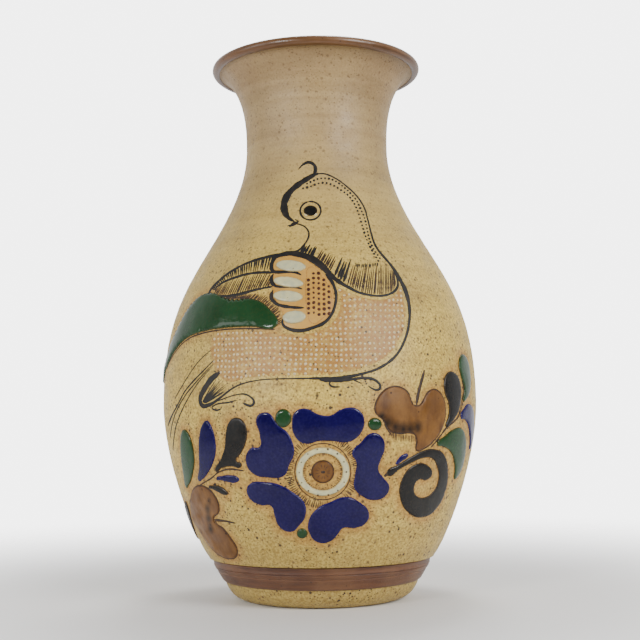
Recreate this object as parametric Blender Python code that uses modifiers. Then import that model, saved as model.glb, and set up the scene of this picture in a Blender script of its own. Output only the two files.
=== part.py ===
"""A round-bellied footed vase in oxide-brushed stoneware, with its raised glazes.

The clay is one thrown body. Everything laid on it afterwards is a separate piece: the glaze
over the lip, the two slip bands round the foot, and each pad of coloured glaze.

Metres, +Z up. The origin is the centre of the standing ring, and the bird faces -Y.
The decoration is drawn flat, in millimetres: `across` is the distance round the wall from the
front, with +X to the right, and `up` is the height above the table.
"""
import math

import bmesh
import bpy
import numpy as np
from mathutils import Vector

MM = 0.001

# Overall sizes
HEIGHT = 0.280              # table to rim
BELLY_RADIUS = 0.0816       # widest
THROAT_RADIUS = 0.03765     # narrowest
LIP_RADIUS = 0.0555         # edge of the flared lip
FOOT_RADIUS = 0.0584        # where the belly meets the foot

# Heights of the stretches, from the table up
FOOT_HEIGHT = 0.022
BELLY_RISE = 0.078          # top of the foot to the widest point
FLARE_RISE = 0.042          # throat to rim
SHOULDER_SHARE = 2 / 3      # of the way from the widest point to the throat
SHOULDER_RADIUS = 0.051

# The clay
WALL = 0.006
LIP_WALL = 0.0038
LIP_NOSE = 0.36             # radius of the lip's rounded edge, as a share of its wall
LIP_OVERHANG = 0.0042       # from where the flare ends out to the lip's edge
FLOOR = 0.010               # clay under the inside, above the recess
RING_OUTER = 0.037          # flat standing ring
RING_INNER = 0.031
RECESS = 0.002              # depth of the hollow inside the standing ring
EDGE_ROUND = 0.0004         # eased edge over the foot's bands

# Layers on the clay
GAP = 0.0003                # kept between a layer and what it lies on
SKIN = 0.0006               # lip glaze
SLIP = 0.0005               # foot bands
PAD = 0.0007                # raised glaze
THICK_PAD = 0.0010          # berries and the flower's ring
LIP_GLAZE_DROP = 0.0055     # how far the lip glaze comes down outside
LIP_GLAZE_INSIDE = 0.006    # and inside

# The two bands round the foot, with a groove between them
BAND_STEP = 0.0009          # from the top of the foot down to the upper band
BAND_INSET = 0.0018         # how far the upper band's top lies inside the foot's own radius
UPPER_BAND = 0.0039         # heights
LOWER_BAND = 0.0074
UPPER_LEAN = math.radians(14)
LOWER_LEAN = math.radians(32)
BAND_TOP = FOOT_HEIGHT - BAND_STEP
BAND_SPLIT = BAND_TOP - UPPER_BAND
BAND_BOTTOM = BAND_SPLIT - LOWER_BAND
BAND_RADIUS = FOOT_RADIUS - BAND_INSET

# Fineness
TURNS = 60                  # facets round
OUTSIDE_STEPS = 5           # facets up each stretch of the wall
INSIDE_STEPS = 3
FINE_STEPS = 40             # used only to measure the wall
PAD_GRID = 0.009            # a pad is cut this fine, so that it bends with the wall
OUTLINE_STEPS = 2           # facets between two points of an outline

# The heights that the decoration is drawn for, and the radius, in millimetres
DRAWN_HEIGHTS = (0, 22, 100, 192, 238, 280)
DRAWN_BELLY = 81.6

FINISHES = {                # name: colour, roughness
    "clay": ("C3A87E", 0.62),
    "brown_gloss": ("5A3826", 0.25),
    "brown_slip": ("6B4A34", 0.5),
    "cobalt": ("1B1C5C", 0.2),
    "green": ("2C5A3F", 0.2),
    "charcoal": ("24272A", 0.22),
    "honey": ("7C5730", 0.25),
    "amber": ("B0783A", 0.35),
    "celadon": ("CFCFB8", 0.25),
}


# --- The wall as a curve -----------------------------------------------------------------

def bezier(start, pull_start, pull_end, end, steps):
    """Points (radius, height) along a cubic curve, without its last point."""
    t = np.arange(steps)[:, None] / steps
    corners = [np.array(corner, float) for corner in (start, pull_start, pull_end, end)]
    weights = [(1 - t) ** 3, 3 * (1 - t) ** 2 * t, 3 * (1 - t) * t * t, t ** 3]
    return sum(weight * corner for weight, corner in zip(weights, corners))


def stations():
    """Radius, height, lean from upright, and the pull below and above, as shares of a stretch."""
    belly = FOOT_HEIGHT + BELLY_RISE
    throat = HEIGHT - FLARE_RISE
    shoulder = belly + (throat - belly) * SHOULDER_SHARE
    lip = HEIGHT - GAP - SKIN - LIP_WALL
    lip_radius = LIP_RADIUS - GAP - SKIN - LIP_OVERHANG
    return [
        (FOOT_RADIUS, FOOT_HEIGHT, math.radians(40), 0, 0.13),
        (BELLY_RADIUS, belly, 0, 0.38, 0.53),
        (SHOULDER_RADIUS, shoulder, math.radians(-29), 0.35, 0.65),
        (THROAT_RADIUS, throat, 0, 0.13, 0.70),
        (lip_radius, lip, math.radians(56), 0.12, 0),
    ]


def wall_curve(steps):
    """The outside of the clay from the foot to under the lip, as rows of (radius, height)."""
    rows = []
    marks = stations()
    for low, high in zip(marks, marks[1:]):
        rise = high[1] - low[1]
        start, end = np.array(low[:2]), np.array(high[:2])
        up = np.array([math.sin(low[2]), math.cos(low[2])]) * low[4] * rise
        down = np.array([math.sin(high[2]), math.cos(high[2])]) * high[3] * rise
        rows.append(bezier(start, start + up, end - down, end, steps))
    return np.vstack(rows + [[marks[-1][:2]]])


WALL_FINE = wall_curve(FINE_STEPS)


def wall_radius(height):
    return np.interp(height, WALL_FINE[:, 1], WALL_FINE[:, 0])


def outward(curve):
    """The outward direction (radius, height) at each point of a curve that runs upwards."""
    along = np.gradient(curve, axis=0)
    along /= np.linalg.norm(along, axis=1)[:, None]
    return np.stack([along[:, 1], -along[:, 0]], axis=1)


def on_wall(across, up, lift):
    """The place of a drawn point, lifted off the wall."""
    marks = [0] + [mark[1] for mark in stations()]
    marks[-1] = HEIGHT
    height = np.interp(up, DRAWN_HEIGHTS, marks)
    step = 0.0005
    radius = wall_radius(height)
    slope = (wall_radius(height + step) - wall_radius(height - step)) / (2 * step)
    angle = across * MM * (BELLY_RADIUS / (DRAWN_BELLY * MM)) / radius
    tilt = math.hypot(1, slope)
    radius += lift / tilt
    height -= lift * slope / tilt
    return Vector((radius * math.sin(angle), -radius * math.cos(angle), height))


# --- Turned pieces -----------------------------------------------------------------------

def lip_nose(lift, steps):
    """The rounded edge of the lip, from under it to its top, standing `lift` off the clay."""
    reach = LIP_WALL * LIP_NOSE
    centre = np.array([LIP_RADIUS - GAP - SKIN - reach, HEIGHT - GAP - SKIN - reach])
    angles = np.radians(np.linspace(-72, 90, steps))
    return centre + (reach + lift) * np.stack([np.cos(angles), np.sin(angles)], axis=1)


def inner_wall(steps):
    """The inside from under the lip down to the floor's edge."""
    outer = wall_curve(steps)
    throat = HEIGHT - FLARE_RISE
    wall = np.interp(outer[:, 1], [throat, outer[-1, 1]], [WALL, LIP_WALL])
    return (outer - outward(outer) * wall[:, None])[::-1]


def band_edge(height, inset):
    """A point on the foot's bands, `inset` below their finished surface."""
    if height >= BAND_SPLIT:
        radius = BAND_RADIUS - (BAND_TOP - height) * math.tan(UPPER_LEAN)
    else:
        radius = band_edge(BAND_SPLIT, 0)[0] - (BAND_SPLIT - height) * math.tan(LOWER_LEAN)
    return (radius - inset, height)


def foot_outside():
    """From the bottom of the bands down to the standing ring."""
    top = band_edge(BAND_BOTTOM - GAP, GAP + SLIP)
    spread = top[0] - RING_OUTER
    pull_top = (top[0] - spread * 0.13, top[1] * 0.48)
    pull_ring = (RING_OUTER + spread * 0.62, 0)
    curve = bezier(top, pull_top, pull_ring, (RING_OUTER, 0), OUTSIDE_STEPS)
    return [tuple(point) for point in curve] + [(RING_OUTER, 0)]


def body_profile():
    """The clay's section, from the middle of the inside, over the lip, to under the foot."""
    inset = GAP + SLIP
    inner = inner_wall(INSIDE_STEPS)
    floor_edge = inner[-1]
    lean = stations()[0][2]
    drop = floor_edge[1] - FLOOR - RECESS
    pull_edge = floor_edge - np.array([math.sin(lean), math.cos(lean)]) * drop
    pull_middle = (floor_edge[0] * 0.55, FLOOR + RECESS)
    floor = bezier(floor_edge, pull_edge, pull_middle, (0, FLOOR + RECESS), INSIDE_STEPS + 1)
    inside = np.vstack([inner, floor[1:], [(0, FLOOR + RECESS)]])[::-1]
    nose = lip_nose(0, 4)[::-1]
    outside = wall_curve(OUTSIDE_STEPS)[::-1]
    foot = [
        (FOOT_RADIUS - EDGE_ROUND, BAND_TOP + GAP),
        band_edge(BAND_TOP + GAP, inset),
        band_edge(BAND_SPLIT, inset),
    ]
    under = [(RING_INNER, 0), (RING_INNER - RECESS / 2, RECESS), (0, RECESS)]
    return [*inside, *nose, *outside, *foot, *foot_outside(), *under]


def lip_glaze_profile():
    """A closed section round the lip's edge: its outer face down the outside, then back."""
    outer = wall_curve(FINE_STEPS)
    normal = outward(outer)
    under = outer[:, 1] > HEIGHT - LIP_GLAZE_DROP
    inner = inner_wall(FINE_STEPS)
    inward = outward(inner[::-1])[::-1]
    inside = inner[:, 1] > inner[0, 1] - LIP_GLAZE_INSIDE

    def layer(lift):
        below = (outer + normal * lift)[under][::5]
        above = (inner - inward * lift)[inside][::8]
        return [*below, *lip_nose(lift, 5), *above]

    return layer(GAP + SKIN)[::-1] + layer(GAP)


def band_profile(top, bottom):
    outer = [band_edge(top, 0), band_edge(bottom, 0)]
    return outer + [band_edge(bottom, SLIP), band_edge(top, SLIP)]


def turned(name, profile, finish, closed):
    """A profile, which runs down its outer side, turned about Z."""
    mesh = bpy.data.meshes.new(name)
    count = len(profile)
    edges = [(i, (i + 1) % count) for i in range(count if closed else count - 1)]
    mesh.from_pydata([(radius, 0, height) for radius, height in profile], edges, [])
    piece = bpy.data.objects.new(name, mesh)
    screw = piece.modifiers.new("Turn", "SCREW")
    screw.steps = TURNS
    screw.render_steps = TURNS
    screw.use_merge_vertices = True
    screw.merge_threshold = 0.00005
    return placed(piece, finish)


# --- Glaze pads --------------------------------------------------------------------------

def oval(across, up, half_width, half_height, count=10, turn=0):
    """Points round an oval."""
    points = []
    lean = math.radians(turn)
    for step in range(count):
        angle = math.tau * step / count
        x = half_width * math.cos(angle)
        y = half_height * math.sin(angle)
        points.append((across + x * math.cos(lean) - y * math.sin(lean),
                       up + x * math.sin(lean) + y * math.cos(lean)))
    return points


def brush_stroke(spine):
    """The outline of a stroke whose spine is (across, up, width), with a round far end."""
    line = np.array([point[:2] for point in spine], float)
    half = np.array([point[2] for point in spine])[:, None] / 2
    along = np.gradient(line, axis=0)
    along /= np.linalg.norm(along, axis=1)[:, None]
    side = np.stack([-along[:, 1], along[:, 0]], axis=1) * half
    tip = line[-1] + along[-1] * half[-1]
    return [*(line + side), tip, *(line - side)[::-1]]


def flat_pad(name, loops, thickness):
    """A flat sheet of the given thickness, inside the first loop and outside any other."""
    curve = bpy.data.curves.new(name, "CURVE")
    curve.dimensions = "2D"
    curve.fill_mode = "BOTH"
    curve.extrude = thickness / 2
    curve.resolution_u = OUTLINE_STEPS
    for points in loops:
        spline = curve.splines.new("BEZIER")
        spline.bezier_points.add(len(points) - 1)
        spline.use_cyclic_u = True
        for knot, (across, up) in zip(spline.bezier_points, points):
            knot.co = (across * MM, up * MM, 0)
            knot.handle_left_type = "AUTO"
            knot.handle_right_type = "AUTO"
    guide = bpy.data.objects.new(name + "_outline", curve)
    bpy.context.scene.collection.objects.link(guide)
    shape = guide.evaluated_get(bpy.context.evaluated_depsgraph_get())
    mesh = bpy.data.meshes.new_from_object(shape)
    bpy.data.objects.remove(guide)
    return mesh


def cut_on_grid(bm):
    """Cuts a flat sheet along both directions, so that it has points to bend at."""
    for axis in (0, 1):
        places = [vertex.co[axis] for vertex in bm.verts]
        first = math.floor(min(places) / PAD_GRID) + 1
        last = math.ceil(max(places) / PAD_GRID)
        direction = Vector((1, 0, 0)) if axis == 0 else Vector((0, 1, 0))
        for line in range(first, last):
            parts = bm.verts[:] + bm.edges[:] + bm.faces[:]
            place = direction * line * PAD_GRID
            bmesh.ops.bisect_plane(bm, geom=parts, plane_co=place, plane_no=direction, dist=1e-6)


def glaze_pad(name, finish, loops, thickness=PAD, turn=0):
    """A flat sheet bent onto the wall, `turn` degrees round from the front."""
    mesh = flat_pad(name, loops, thickness)
    bm = bmesh.new()
    bm.from_mesh(mesh)
    bmesh.ops.remove_doubles(bm, verts=bm.verts, dist=1e-6)
    cut_on_grid(bm)
    bmesh.ops.triangulate(bm, faces=bm.faces)
    cos, sin = math.cos(math.radians(turn)), math.sin(math.radians(turn))
    for vertex in bm.verts:
        lift = GAP + thickness / 2 + vertex.co.z
        point = on_wall(vertex.co.x / MM, vertex.co.y / MM, lift)
        vertex.co = (point.x * cos - point.y * sin, point.x * sin + point.y * cos, point.z)
    bm.to_mesh(mesh)
    bm.free()
    return placed(bpy.data.objects.new(name, mesh), finish)


# --- The decoration, drawn in millimetres --------------------------------------------------

PETALS = {
    "petal_top": [(-12.8, 91), (-11.5, 94.3), (-7, 96), (0, 93), (5, 92.7), (9, 95), (14, 96.2),
                  (18, 95), (20.5, 91), (19, 84.5), (13, 80.3), (6, 80.8), (0, 81), (-7, 79.8),
                  (-11.5, 83)],
    "petal_left": [(-30, 92), (-26.7, 94.4), (-23.7, 93.3), (-22, 90), (-19.8, 87), (-16, 85.5),
                   (-13, 81.5), (-12, 76), (-14.5, 70), (-17, 65.2), (-25, 64.4), (-32, 66),
                   (-36, 71.5), (-33.5, 78), (-28.5, 79), (-28.5, 84)],
    "petal_bottom_left": [(-36, 59), (-33.5, 62), (-27, 62.5), (-20, 61.5), (-13, 57.8),
                          (-7.5, 52.5), (-7.5, 46), (-10.3, 42), (-14, 39), (-20, 41.5),
                          (-22.3, 47.5), (-23.5, 51), (-29, 51.5), (-34.5, 54.5)],
    "petal_bottom_right": [(-6, 44), (-2, 50), (4, 53), (12, 55.3), (19, 52), (22.5, 48),
                           (21.5, 43), (16, 40.4), (10, 40.5), (7.5, 37.5), (4, 34.3),
                           (-1.5, 33.9), (-5.3, 37.5)],
    "petal_right": [(14.5, 75.5), (18.5, 80), (24, 84.4), (29, 82.6), (30.6, 77.5), (28.5, 72),
                    (27.3, 67.5), (30, 63.5), (33, 59.5), (31, 55), (25, 53.2), (19.3, 55.2),
                    (15.4, 59.5), (15.8, 65), (16.5, 71)],
}
FLOWER_CENTRE = (1, 67)
BERRIES = {
    "berry_left": (-17.3, 91.7, 3.2, 3.7),
    "berry_right": (25.6, 88.6, 3.0, 2.3),
    "berry_bottom": (-9.2, 38.4, 1.9, 1.9),
}
FEATHERS = {                # middle across and up, half length, half width, turn
    "feather_1": (-14, 163.8, 6.4, 2.9, -8),
    "feather_2": (-15, 155.7, 6.8, 2.7, -11),
    "feather_3": (-15, 148.7, 6.6, 2.8, -6),
    "feather_4": (-12.2, 138, 4.6, 3.2, 3),
}
WING = [(-19, 135.5), (-22.5, 142), (-30, 147.5), (-45, 148.8), (-60, 153.5), (-75, 149.5),
        (-90, 137.5), (-105, 125), (-120, 112.5), (-105, 117.5), (-90, 125.5), (-75, 131.5),
        (-60, 133.8), (-45, 134.5), (-30, 134), (-22, 132.8)]
SHOULDER = [(-4, 163), (2, 158), (6, 150), (6, 143), (2, 137), (-3, 134.7), (-5.5, 140),
            (-6.2, 148), (-6, 156)]
HEART_RIGHT = [(46, 97.2), (43.5, 102.5), (39, 105.3), (33.5, 105.3), (29, 102.5), (26, 97.5),
               (26, 93.8), (29.5, 90.5), (33.5, 85), (40, 83.9), (46.5, 83.5), (48, 80),
               (47.8, 76), (52, 76.4), (60, 80.8), (64.5, 85.5), (67.3, 91), (67.5, 96),
               (66, 100.5), (62.5, 103.7), (58, 104.4), (54, 102), (50, 97.2)]
HEART_LEFT = [(-58.5, 44.3), (-54.5, 47), (-53.5, 51), (-56, 55.5), (-61, 59), (-66, 60),
              (-72, 59), (-77, 55.5), (-81, 50), (-84, 42), (-80, 39), (-73, 33), (-65, 27.5),
              (-57, 24.8), (-50, 24.3), (-45, 26), (-44, 30), (-47, 34.5), (-52, 39.5)]
LEAVES = {
    "leaf_black_right": ("charcoal", [
        (68, 86.5), (70, 92.5), (69.8, 98), (67.2, 102.5), (66.3, 107), (67.8, 111),
        (71.5, 113.3), (76, 113), (80, 110.5), (82, 106), (82, 101), (80, 95.5), (76.5, 91.5),
        (72, 88.3)]),
    "leaf_green_upper": ("green", [
        (84.5, 99), (85.8, 105), (82.8, 111), (81, 117), (83.5, 121.3), (88, 122.4),
        (93, 120), (96, 114), (96, 108), (92.5, 102.5), (88, 99.7)]),
    "leaf_blue_right": ("cobalt", [
        (81.5, 91.6), (86, 96), (92.5, 98), (99, 95.5), (103.5, 88), (103, 80), (99.3, 75),
        (97, 80), (93, 86), (88, 89.6)]),
    "leaf_green_lower": ("green", [
        (61.3, 78.6), (67, 82.3), (75, 85.7), (83, 86), (88.5, 82), (90.7, 75), (89, 67),
        (84, 62.2), (79.3, 61.2), (78.6, 66), (76, 71.5), (71, 75.5), (66, 77.2)]),
    "bud_blue_right": ("cobalt", [
        (36.3, 69.6), (37.8, 72.5), (40.3, 74.3), (43, 74.2), (42.6, 72.8), (39.5, 71)]),
    "leaf_black_left": ("charcoal", [
        (-54, 66.8), (-50, 73.5), (-47.6, 79), (-46.5, 86), (-44.5, 90.5), (-41, 92.3),
        (-37, 91), (-34.8, 86.5), (-35.5, 80.7), (-38.4, 75.5), (-41, 72.4), (-38.2, 71),
        (-38.6, 69.2), (-44, 69.5), (-50, 68.6)]),
    "leaf_blue_left": ("cobalt", [
        (-67.6, 62.2), (-66, 69), (-65.5, 76), (-64.2, 84), (-61.7, 89.3), (-58.5, 91.2),
        (-55.5, 88.5), (-53.2, 82), (-53.2, 76.5), (-55.7, 70.5), (-60, 65.8), (-64.2, 63)]),
    "leaf_green_left": ("green", [
        (-82, 58.3), (-83, 66), (-83, 74), (-82, 81), (-80, 85.7), (-77, 87.2), (-73, 85),
        (-70, 79), (-69.6, 72), (-71.8, 66.3), (-75.5, 61.7), (-79, 59.5)]),
    "bud_blue_left": ("cobalt", [
        (-54, 63.6), (-50, 65.1), (-45, 65.5), (-41.2, 64.9), (-39.9, 63.4), (-42, 61.9),
        (-46, 62), (-50, 62.7)]),
    "bud_black_left": ("charcoal", [
        (-60, 59.3), (-56.5, 60.5), (-52, 60.2), (-48.3, 58.6), (-46.8, 56.7), (-48.6, 55.8),
        (-53, 57), (-57, 58.4)]),
    "leaf_shadow_left": ("charcoal", [
        (-88, 51), (-86.5, 45), (-88, 38), (-93, 31.5), (-98, 31), (-99.5, 37), (-97, 45),
        (-92.5, 50)]),
}
SCROLL = [(32.5, 65.6, 1.6), (38, 68.4, 2.2), (46, 72, 3), (52.5, 74, 3.6), (59, 74, 5),
          (65, 70.5, 8), (68, 64, 8.6), (67, 57, 9.2), (62, 51.3, 9.8), (55, 48.6, 10),
          (47.5, 49.8, 9.6), (43, 55, 9), (43.8, 61.8, 8.4), (49, 65.8, 8), (55.5, 65, 7)]

# The back and the sides, drawn about their own middles
BACK_TURN = 180             # degrees round from the front
BACK_PETALS = 5
BACK_CENTRE = (0, 78)
BACK_PETAL = [(-7, 12.5), (-9.8, 18.5), (-8.5, 25), (-3.2, 27.3), (0, 25.2), (3.2, 27.3),
              (8.5, 25), (9.8, 18.5), (7, 12.5), (0, 11.8)]
LEAF = [(0, 0), (6, 3.6), (13, 5.2), (19, 4.2), (22.5, 0.8), (19, -2.6), (13, -3.6), (6, -2.6)]
BACK_LEAVES = {             # name: finish, foot across and up, turn
    "back_leaf_upper_left": ("green", (-30, 94), 132),
    "back_leaf_upper_right": ("charcoal", (30, 94), 48),
    "back_leaf_lower_left": ("charcoal", (-30, 62), 222),
    "back_leaf_lower_right": ("green", (30, 62), -42),
}
SIDE_TURNS = {"side_left": -117, "side_right": 117}
SIDE_HEART = [(0, -13), (6, -9), (12, -3), (14, 3), (12.5, 9), (8, 12), (3, 11.2), (0, 7.5),
              (-3, 11.2), (-8, 12), (-12.5, 9), (-14, 3), (-12, -3), (-6, -9)]
SIDE_HEART_UP = 62
SIDE_LEAVES = {             # name: finish, foot across and up, turn
    "leaf_near": ("charcoal", (-9, 79), 120),
    "leaf_middle": ("cobalt", (0, 81), 86),
    "leaf_far": ("green", (9, 79), 52),
}


def turned_shape(points, across, up, turn):
    """A drawn shape turned about its own origin and moved."""
    cos, sin = math.cos(math.radians(turn)), math.sin(math.radians(turn))
    return [(across + x * cos - y * sin, up + x * sin + y * cos) for x, y in points]


def make_flower():
    for name, points in PETALS.items():
        glaze_pad(name, "cobalt", [points])
    ring = [oval(*FLOWER_CENTRE, 12.4, 11.2, 16), oval(*FLOWER_CENTRE, 9, 8.4, 16)]
    glaze_pad("flower_ring", "celadon", ring, THICK_PAD)
    glaze_pad("flower_eye", "brown_gloss", [oval(*FLOWER_CENTRE, 5, 5)])
    for name, (across, up, half_width, half_height) in BERRIES.items():
        glaze_pad(name, "green", [oval(across, up, half_width, half_height, 8)], THICK_PAD)


def make_bird():
    glaze_pad("wing_glaze", "green", [WING])
    glaze_pad("shoulder_patch", "amber", [SHOULDER])
    for name, (across, up, half_length, half_width, turn) in FEATHERS.items():
        glaze_pad(name, "celadon", [oval(across, up, half_length, half_width, 10, turn)])


def make_sprays():
    glaze_pad("heart_right", "honey", [HEART_RIGHT])
    glaze_pad("heart_left", "honey", [HEART_LEFT])
    glaze_pad("scroll_right", "charcoal", [brush_stroke(SCROLL)])
    for name, (finish, points) in LEAVES.items():
        glaze_pad(name, finish, [points])


def make_back():
    """A smaller flower and four leaves on the side away from the bird."""
    for number in range(BACK_PETALS):
        petal = turned_shape(BACK_PETAL, *BACK_CENTRE, 360 * number / BACK_PETALS)
        glaze_pad(f"back_petal_{number + 1}", "cobalt", [petal], turn=BACK_TURN)
    ring = [oval(*BACK_CENTRE, 9.4, 9.4, 14), oval(*BACK_CENTRE, 6.4, 6.4, 14)]
    glaze_pad("back_flower_ring", "celadon", ring, THICK_PAD, BACK_TURN)
    glaze_pad("back_flower_eye", "brown_gloss", [oval(*BACK_CENTRE, 3.6, 3.6)], turn=BACK_TURN)
    for name, (finish, foot, turn) in BACK_LEAVES.items():
        glaze_pad(name, finish, [turned_shape(LEAF, *foot, turn)], turn=BACK_TURN)


def make_sides():
    """A heart with three leaves over it on each side, between the front and the back."""
    for side, place in SIDE_TURNS.items():
        heart = turned_shape(SIDE_HEART, 0, SIDE_HEART_UP, 0)
        glaze_pad(side + "_heart", "honey", [heart], turn=place)
        for name, (finish, foot, turn) in SIDE_LEAVES.items():
            leaf = turned_shape(LEAF, *foot, turn)
            glaze_pad(side + "_" + name, finish, [leaf], turn=place)


def make_turned_pieces():
    turned("vase_body", body_profile(), "clay", closed=False)
    turned("lip_glaze", lip_glaze_profile(), "brown_gloss", closed=True)
    upper = band_profile(BAND_TOP, BAND_SPLIT + GAP)
    turned("foot_band_upper", upper, "brown_slip", closed=True)
    lower = band_profile(BAND_SPLIT - GAP, BAND_BOTTOM)
    turned("foot_band_lower", lower, "brown_slip", closed=True)


# --- The scene ---------------------------------------------------------------------------

def linear(channel):
    return channel / 12.92 if channel <= 0.04045 else ((channel + 0.055) / 1.055) ** 2.4


def finish_material(finish):
    """The material of that name, made the first time that it is asked for."""
    known = bpy.data.materials.get(finish)
    if known:
        return known
    colour, roughness = FINISHES[finish]
    channels = [linear(int(colour[i:i + 2], 16) / 255) for i in (0, 2, 4)]
    material = bpy.data.materials.new(finish)
    material.use_nodes = True
    shader = material.node_tree.nodes["Principled BSDF"]
    shader.inputs["Base Color"].default_value = (*channels, 1)
    shader.inputs["Roughness"].default_value = roughness
    shader.inputs["Metallic"].default_value = 0
    return material


def placed(piece, finish):
    """Puts a piece in the vase's collection, shaded smooth, with a material of its own."""
    material = finish_material(finish).copy()
    material.name = piece.name + "_" + finish
    piece.data.materials.append(material)
    bpy.data.collections["vase"].objects.link(piece)
    piece.data.shade_smooth()
    return piece


def main():
    for old in list(bpy.data.objects):
        bpy.data.objects.remove(old)
    collection = bpy.data.collections.new("vase")
    bpy.context.scene.collection.children.link(collection)
    make_turned_pieces()
    make_flower()
    make_bird()
    make_sprays()
    make_back()
    make_sides()


main()
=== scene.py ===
"""A brushed and glazed stoneware vase, dressed on its turned frame.

The clay wall is turned again at a fine grain, with the throwing ridges that a potter's hand
leaves. The glazes, the brushed lines and the raised dots are drawn flat, in millimetres
(`across` is the distance round the wall from the front, `up` the height above the table), and
then laid on that wall.
"""
import math

import bmesh
import bpy
import numpy as np
from mathutils import Euler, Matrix, Quaternion, Vector, kdtree, noise
from mathutils.bvhtree import BVHTree
from mathutils.geometry import delaunay_2d_cdt


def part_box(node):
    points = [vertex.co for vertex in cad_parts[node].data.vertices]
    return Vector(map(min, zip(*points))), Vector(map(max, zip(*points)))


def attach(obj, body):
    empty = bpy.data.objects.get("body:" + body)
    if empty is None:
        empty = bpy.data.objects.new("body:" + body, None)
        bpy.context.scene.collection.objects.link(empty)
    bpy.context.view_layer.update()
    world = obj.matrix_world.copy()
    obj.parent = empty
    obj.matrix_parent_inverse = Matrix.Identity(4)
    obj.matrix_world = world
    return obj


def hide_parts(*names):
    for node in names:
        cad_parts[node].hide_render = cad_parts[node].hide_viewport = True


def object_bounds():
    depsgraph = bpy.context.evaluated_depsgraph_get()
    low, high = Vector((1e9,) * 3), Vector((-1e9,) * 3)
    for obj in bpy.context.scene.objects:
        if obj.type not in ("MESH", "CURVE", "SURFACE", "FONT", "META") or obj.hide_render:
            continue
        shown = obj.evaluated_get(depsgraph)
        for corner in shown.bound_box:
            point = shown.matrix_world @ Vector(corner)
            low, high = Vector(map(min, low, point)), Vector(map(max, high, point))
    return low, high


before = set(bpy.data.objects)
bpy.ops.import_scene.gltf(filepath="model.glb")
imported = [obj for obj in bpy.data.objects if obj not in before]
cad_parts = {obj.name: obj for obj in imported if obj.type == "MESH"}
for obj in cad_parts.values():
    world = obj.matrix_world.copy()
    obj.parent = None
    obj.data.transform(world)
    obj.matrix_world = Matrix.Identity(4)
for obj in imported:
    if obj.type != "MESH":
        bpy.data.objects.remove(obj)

MM = 0.001
cad_box = [list(corner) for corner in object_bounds()]

# --- Sizes: the frame's own, and what the finish adds --------------------------------------

HEIGHT = cad_box[1][2]
BELLY_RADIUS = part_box("vase_body")[1].x
LIP_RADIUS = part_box("lip_glaze")[1].x
UPPER_LOW, UPPER_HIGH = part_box("foot_band_upper")
LOWER_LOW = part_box("foot_band_lower")[0]
FOOT_HEIGHT = UPPER_HIGH.z + 0.0009
BELLY_HEIGHT = FOOT_HEIGHT + 0.078
THROAT_HEIGHT = HEIGHT - 0.042
SHOULDER_HEIGHT = BELLY_HEIGHT + (THROAT_HEIGHT - BELLY_HEIGHT) * 2 / 3
FOOT_RADIUS = 0.0584
SHOULDER_RADIUS = 0.051
THROAT_RADIUS = 0.03765
RING_OUTER = 0.037
RING_INNER = 0.031
RECESS = 0.002
FLOOR_TOP = 0.012
WALL = 0.006
LIP_WALL = 0.0038
LIP_COAT = 0.0009           # lip glaze, with what it stands off the clay
BAND_COAT = 0.0008          # foot bands, the same

GLAZE_HEIGHT = 0.00085      # how far a pad of glaze stands off the clay
GLAZE_EDGE = 0.0011         # width of its rounded edge
GLAZE_IOR = 1.36            # under that of glass, so that the sheen doesn't pale dark glazes
THIN_GLAZE = {"height": 0.0005, "edge": 0.0009}     # the hearts' honey glaze
WASH_COAT = {"height": 0.00008, "edge": 0.0004, "nodes": ()}
SUNK = 0.00015              # how far the edge of what is laid on goes into the clay
ON_RING = 0.00095           # how far marks are raised that lie on the flower's ring,
ON_EYE = 0.00055            # on its eye,
ON_SHOULDER = 0.00028       # on the bird's shoulder,
ON_WASH = 0.00006           # and on the breast's wash
HALO = 0.005                # how far the orange flush reaches from a glaze
LIFT_SEARCH = 0.003         # rays look for the wall this far either side of its smooth curve
CURVE_PULL = 2.5614         # gap over handle: four even points then make a circle
FILL_SPACING = 1.7          # mm between the points that fill a pad's top
BASE_SPACING = 4            # and its underside
CROWN_REACH = 7             # mm from its edge to where a pad has its full height
WAVER = 0.16                # slow unevenness of a pad's top, in waves to the mm

FLOOR_REACH = 0.6
CAMERA_PLACE = (0.0006, -0.606, 0.08745)
CAMERA_LENS = 64.69
CAMERA_TILT = math.radians(5.31)
CAMERA_ROLL = math.radians(-0.734)


def bezier(start, pull_start, pull_end, end, steps):
    """Points (radius, height) along a cubic curve, without its last point."""
    t = np.arange(steps)[:, None] / steps
    corners = [np.array(corner, float) for corner in (start, pull_start, pull_end, end)]
    weights = [(1 - t) ** 3, 3 * (1 - t) ** 2 * t, 3 * (1 - t) * t * t, t ** 3]
    return sum(weight * corner for weight, corner in zip(weights, corners))


STATIONS = [                # radius, height, lean from upright, pull below and above
    (FOOT_RADIUS, FOOT_HEIGHT, math.radians(40), 0, 0.13),
    (BELLY_RADIUS, BELLY_HEIGHT, 0, 0.38, 0.53),
    (SHOULDER_RADIUS, SHOULDER_HEIGHT, math.radians(-29), 0.35, 0.65),
    (THROAT_RADIUS, THROAT_HEIGHT, 0, 0.13, 0.70),
    (LIP_RADIUS - 0.0051, HEIGHT - 0.0047, math.radians(56), 0.12, 0),
]


def wall_curve(steps):
    """The outside of the clay from the foot to under the lip, as rows of (radius, height)."""
    rows = []
    for low, high in zip(STATIONS, STATIONS[1:]):
        rise = high[1] - low[1]
        start, end = np.array(low[:2]), np.array(high[:2])
        up = np.array([math.sin(low[2]), math.cos(low[2])]) * low[4] * rise
        down = np.array([math.sin(high[2]), math.cos(high[2])]) * high[3] * rise
        rows.append(bezier(start, start + up, end - down, end, steps))
    return np.vstack(rows + [[STATIONS[-1][:2]]])


WALL_FINE = wall_curve(60)


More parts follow.
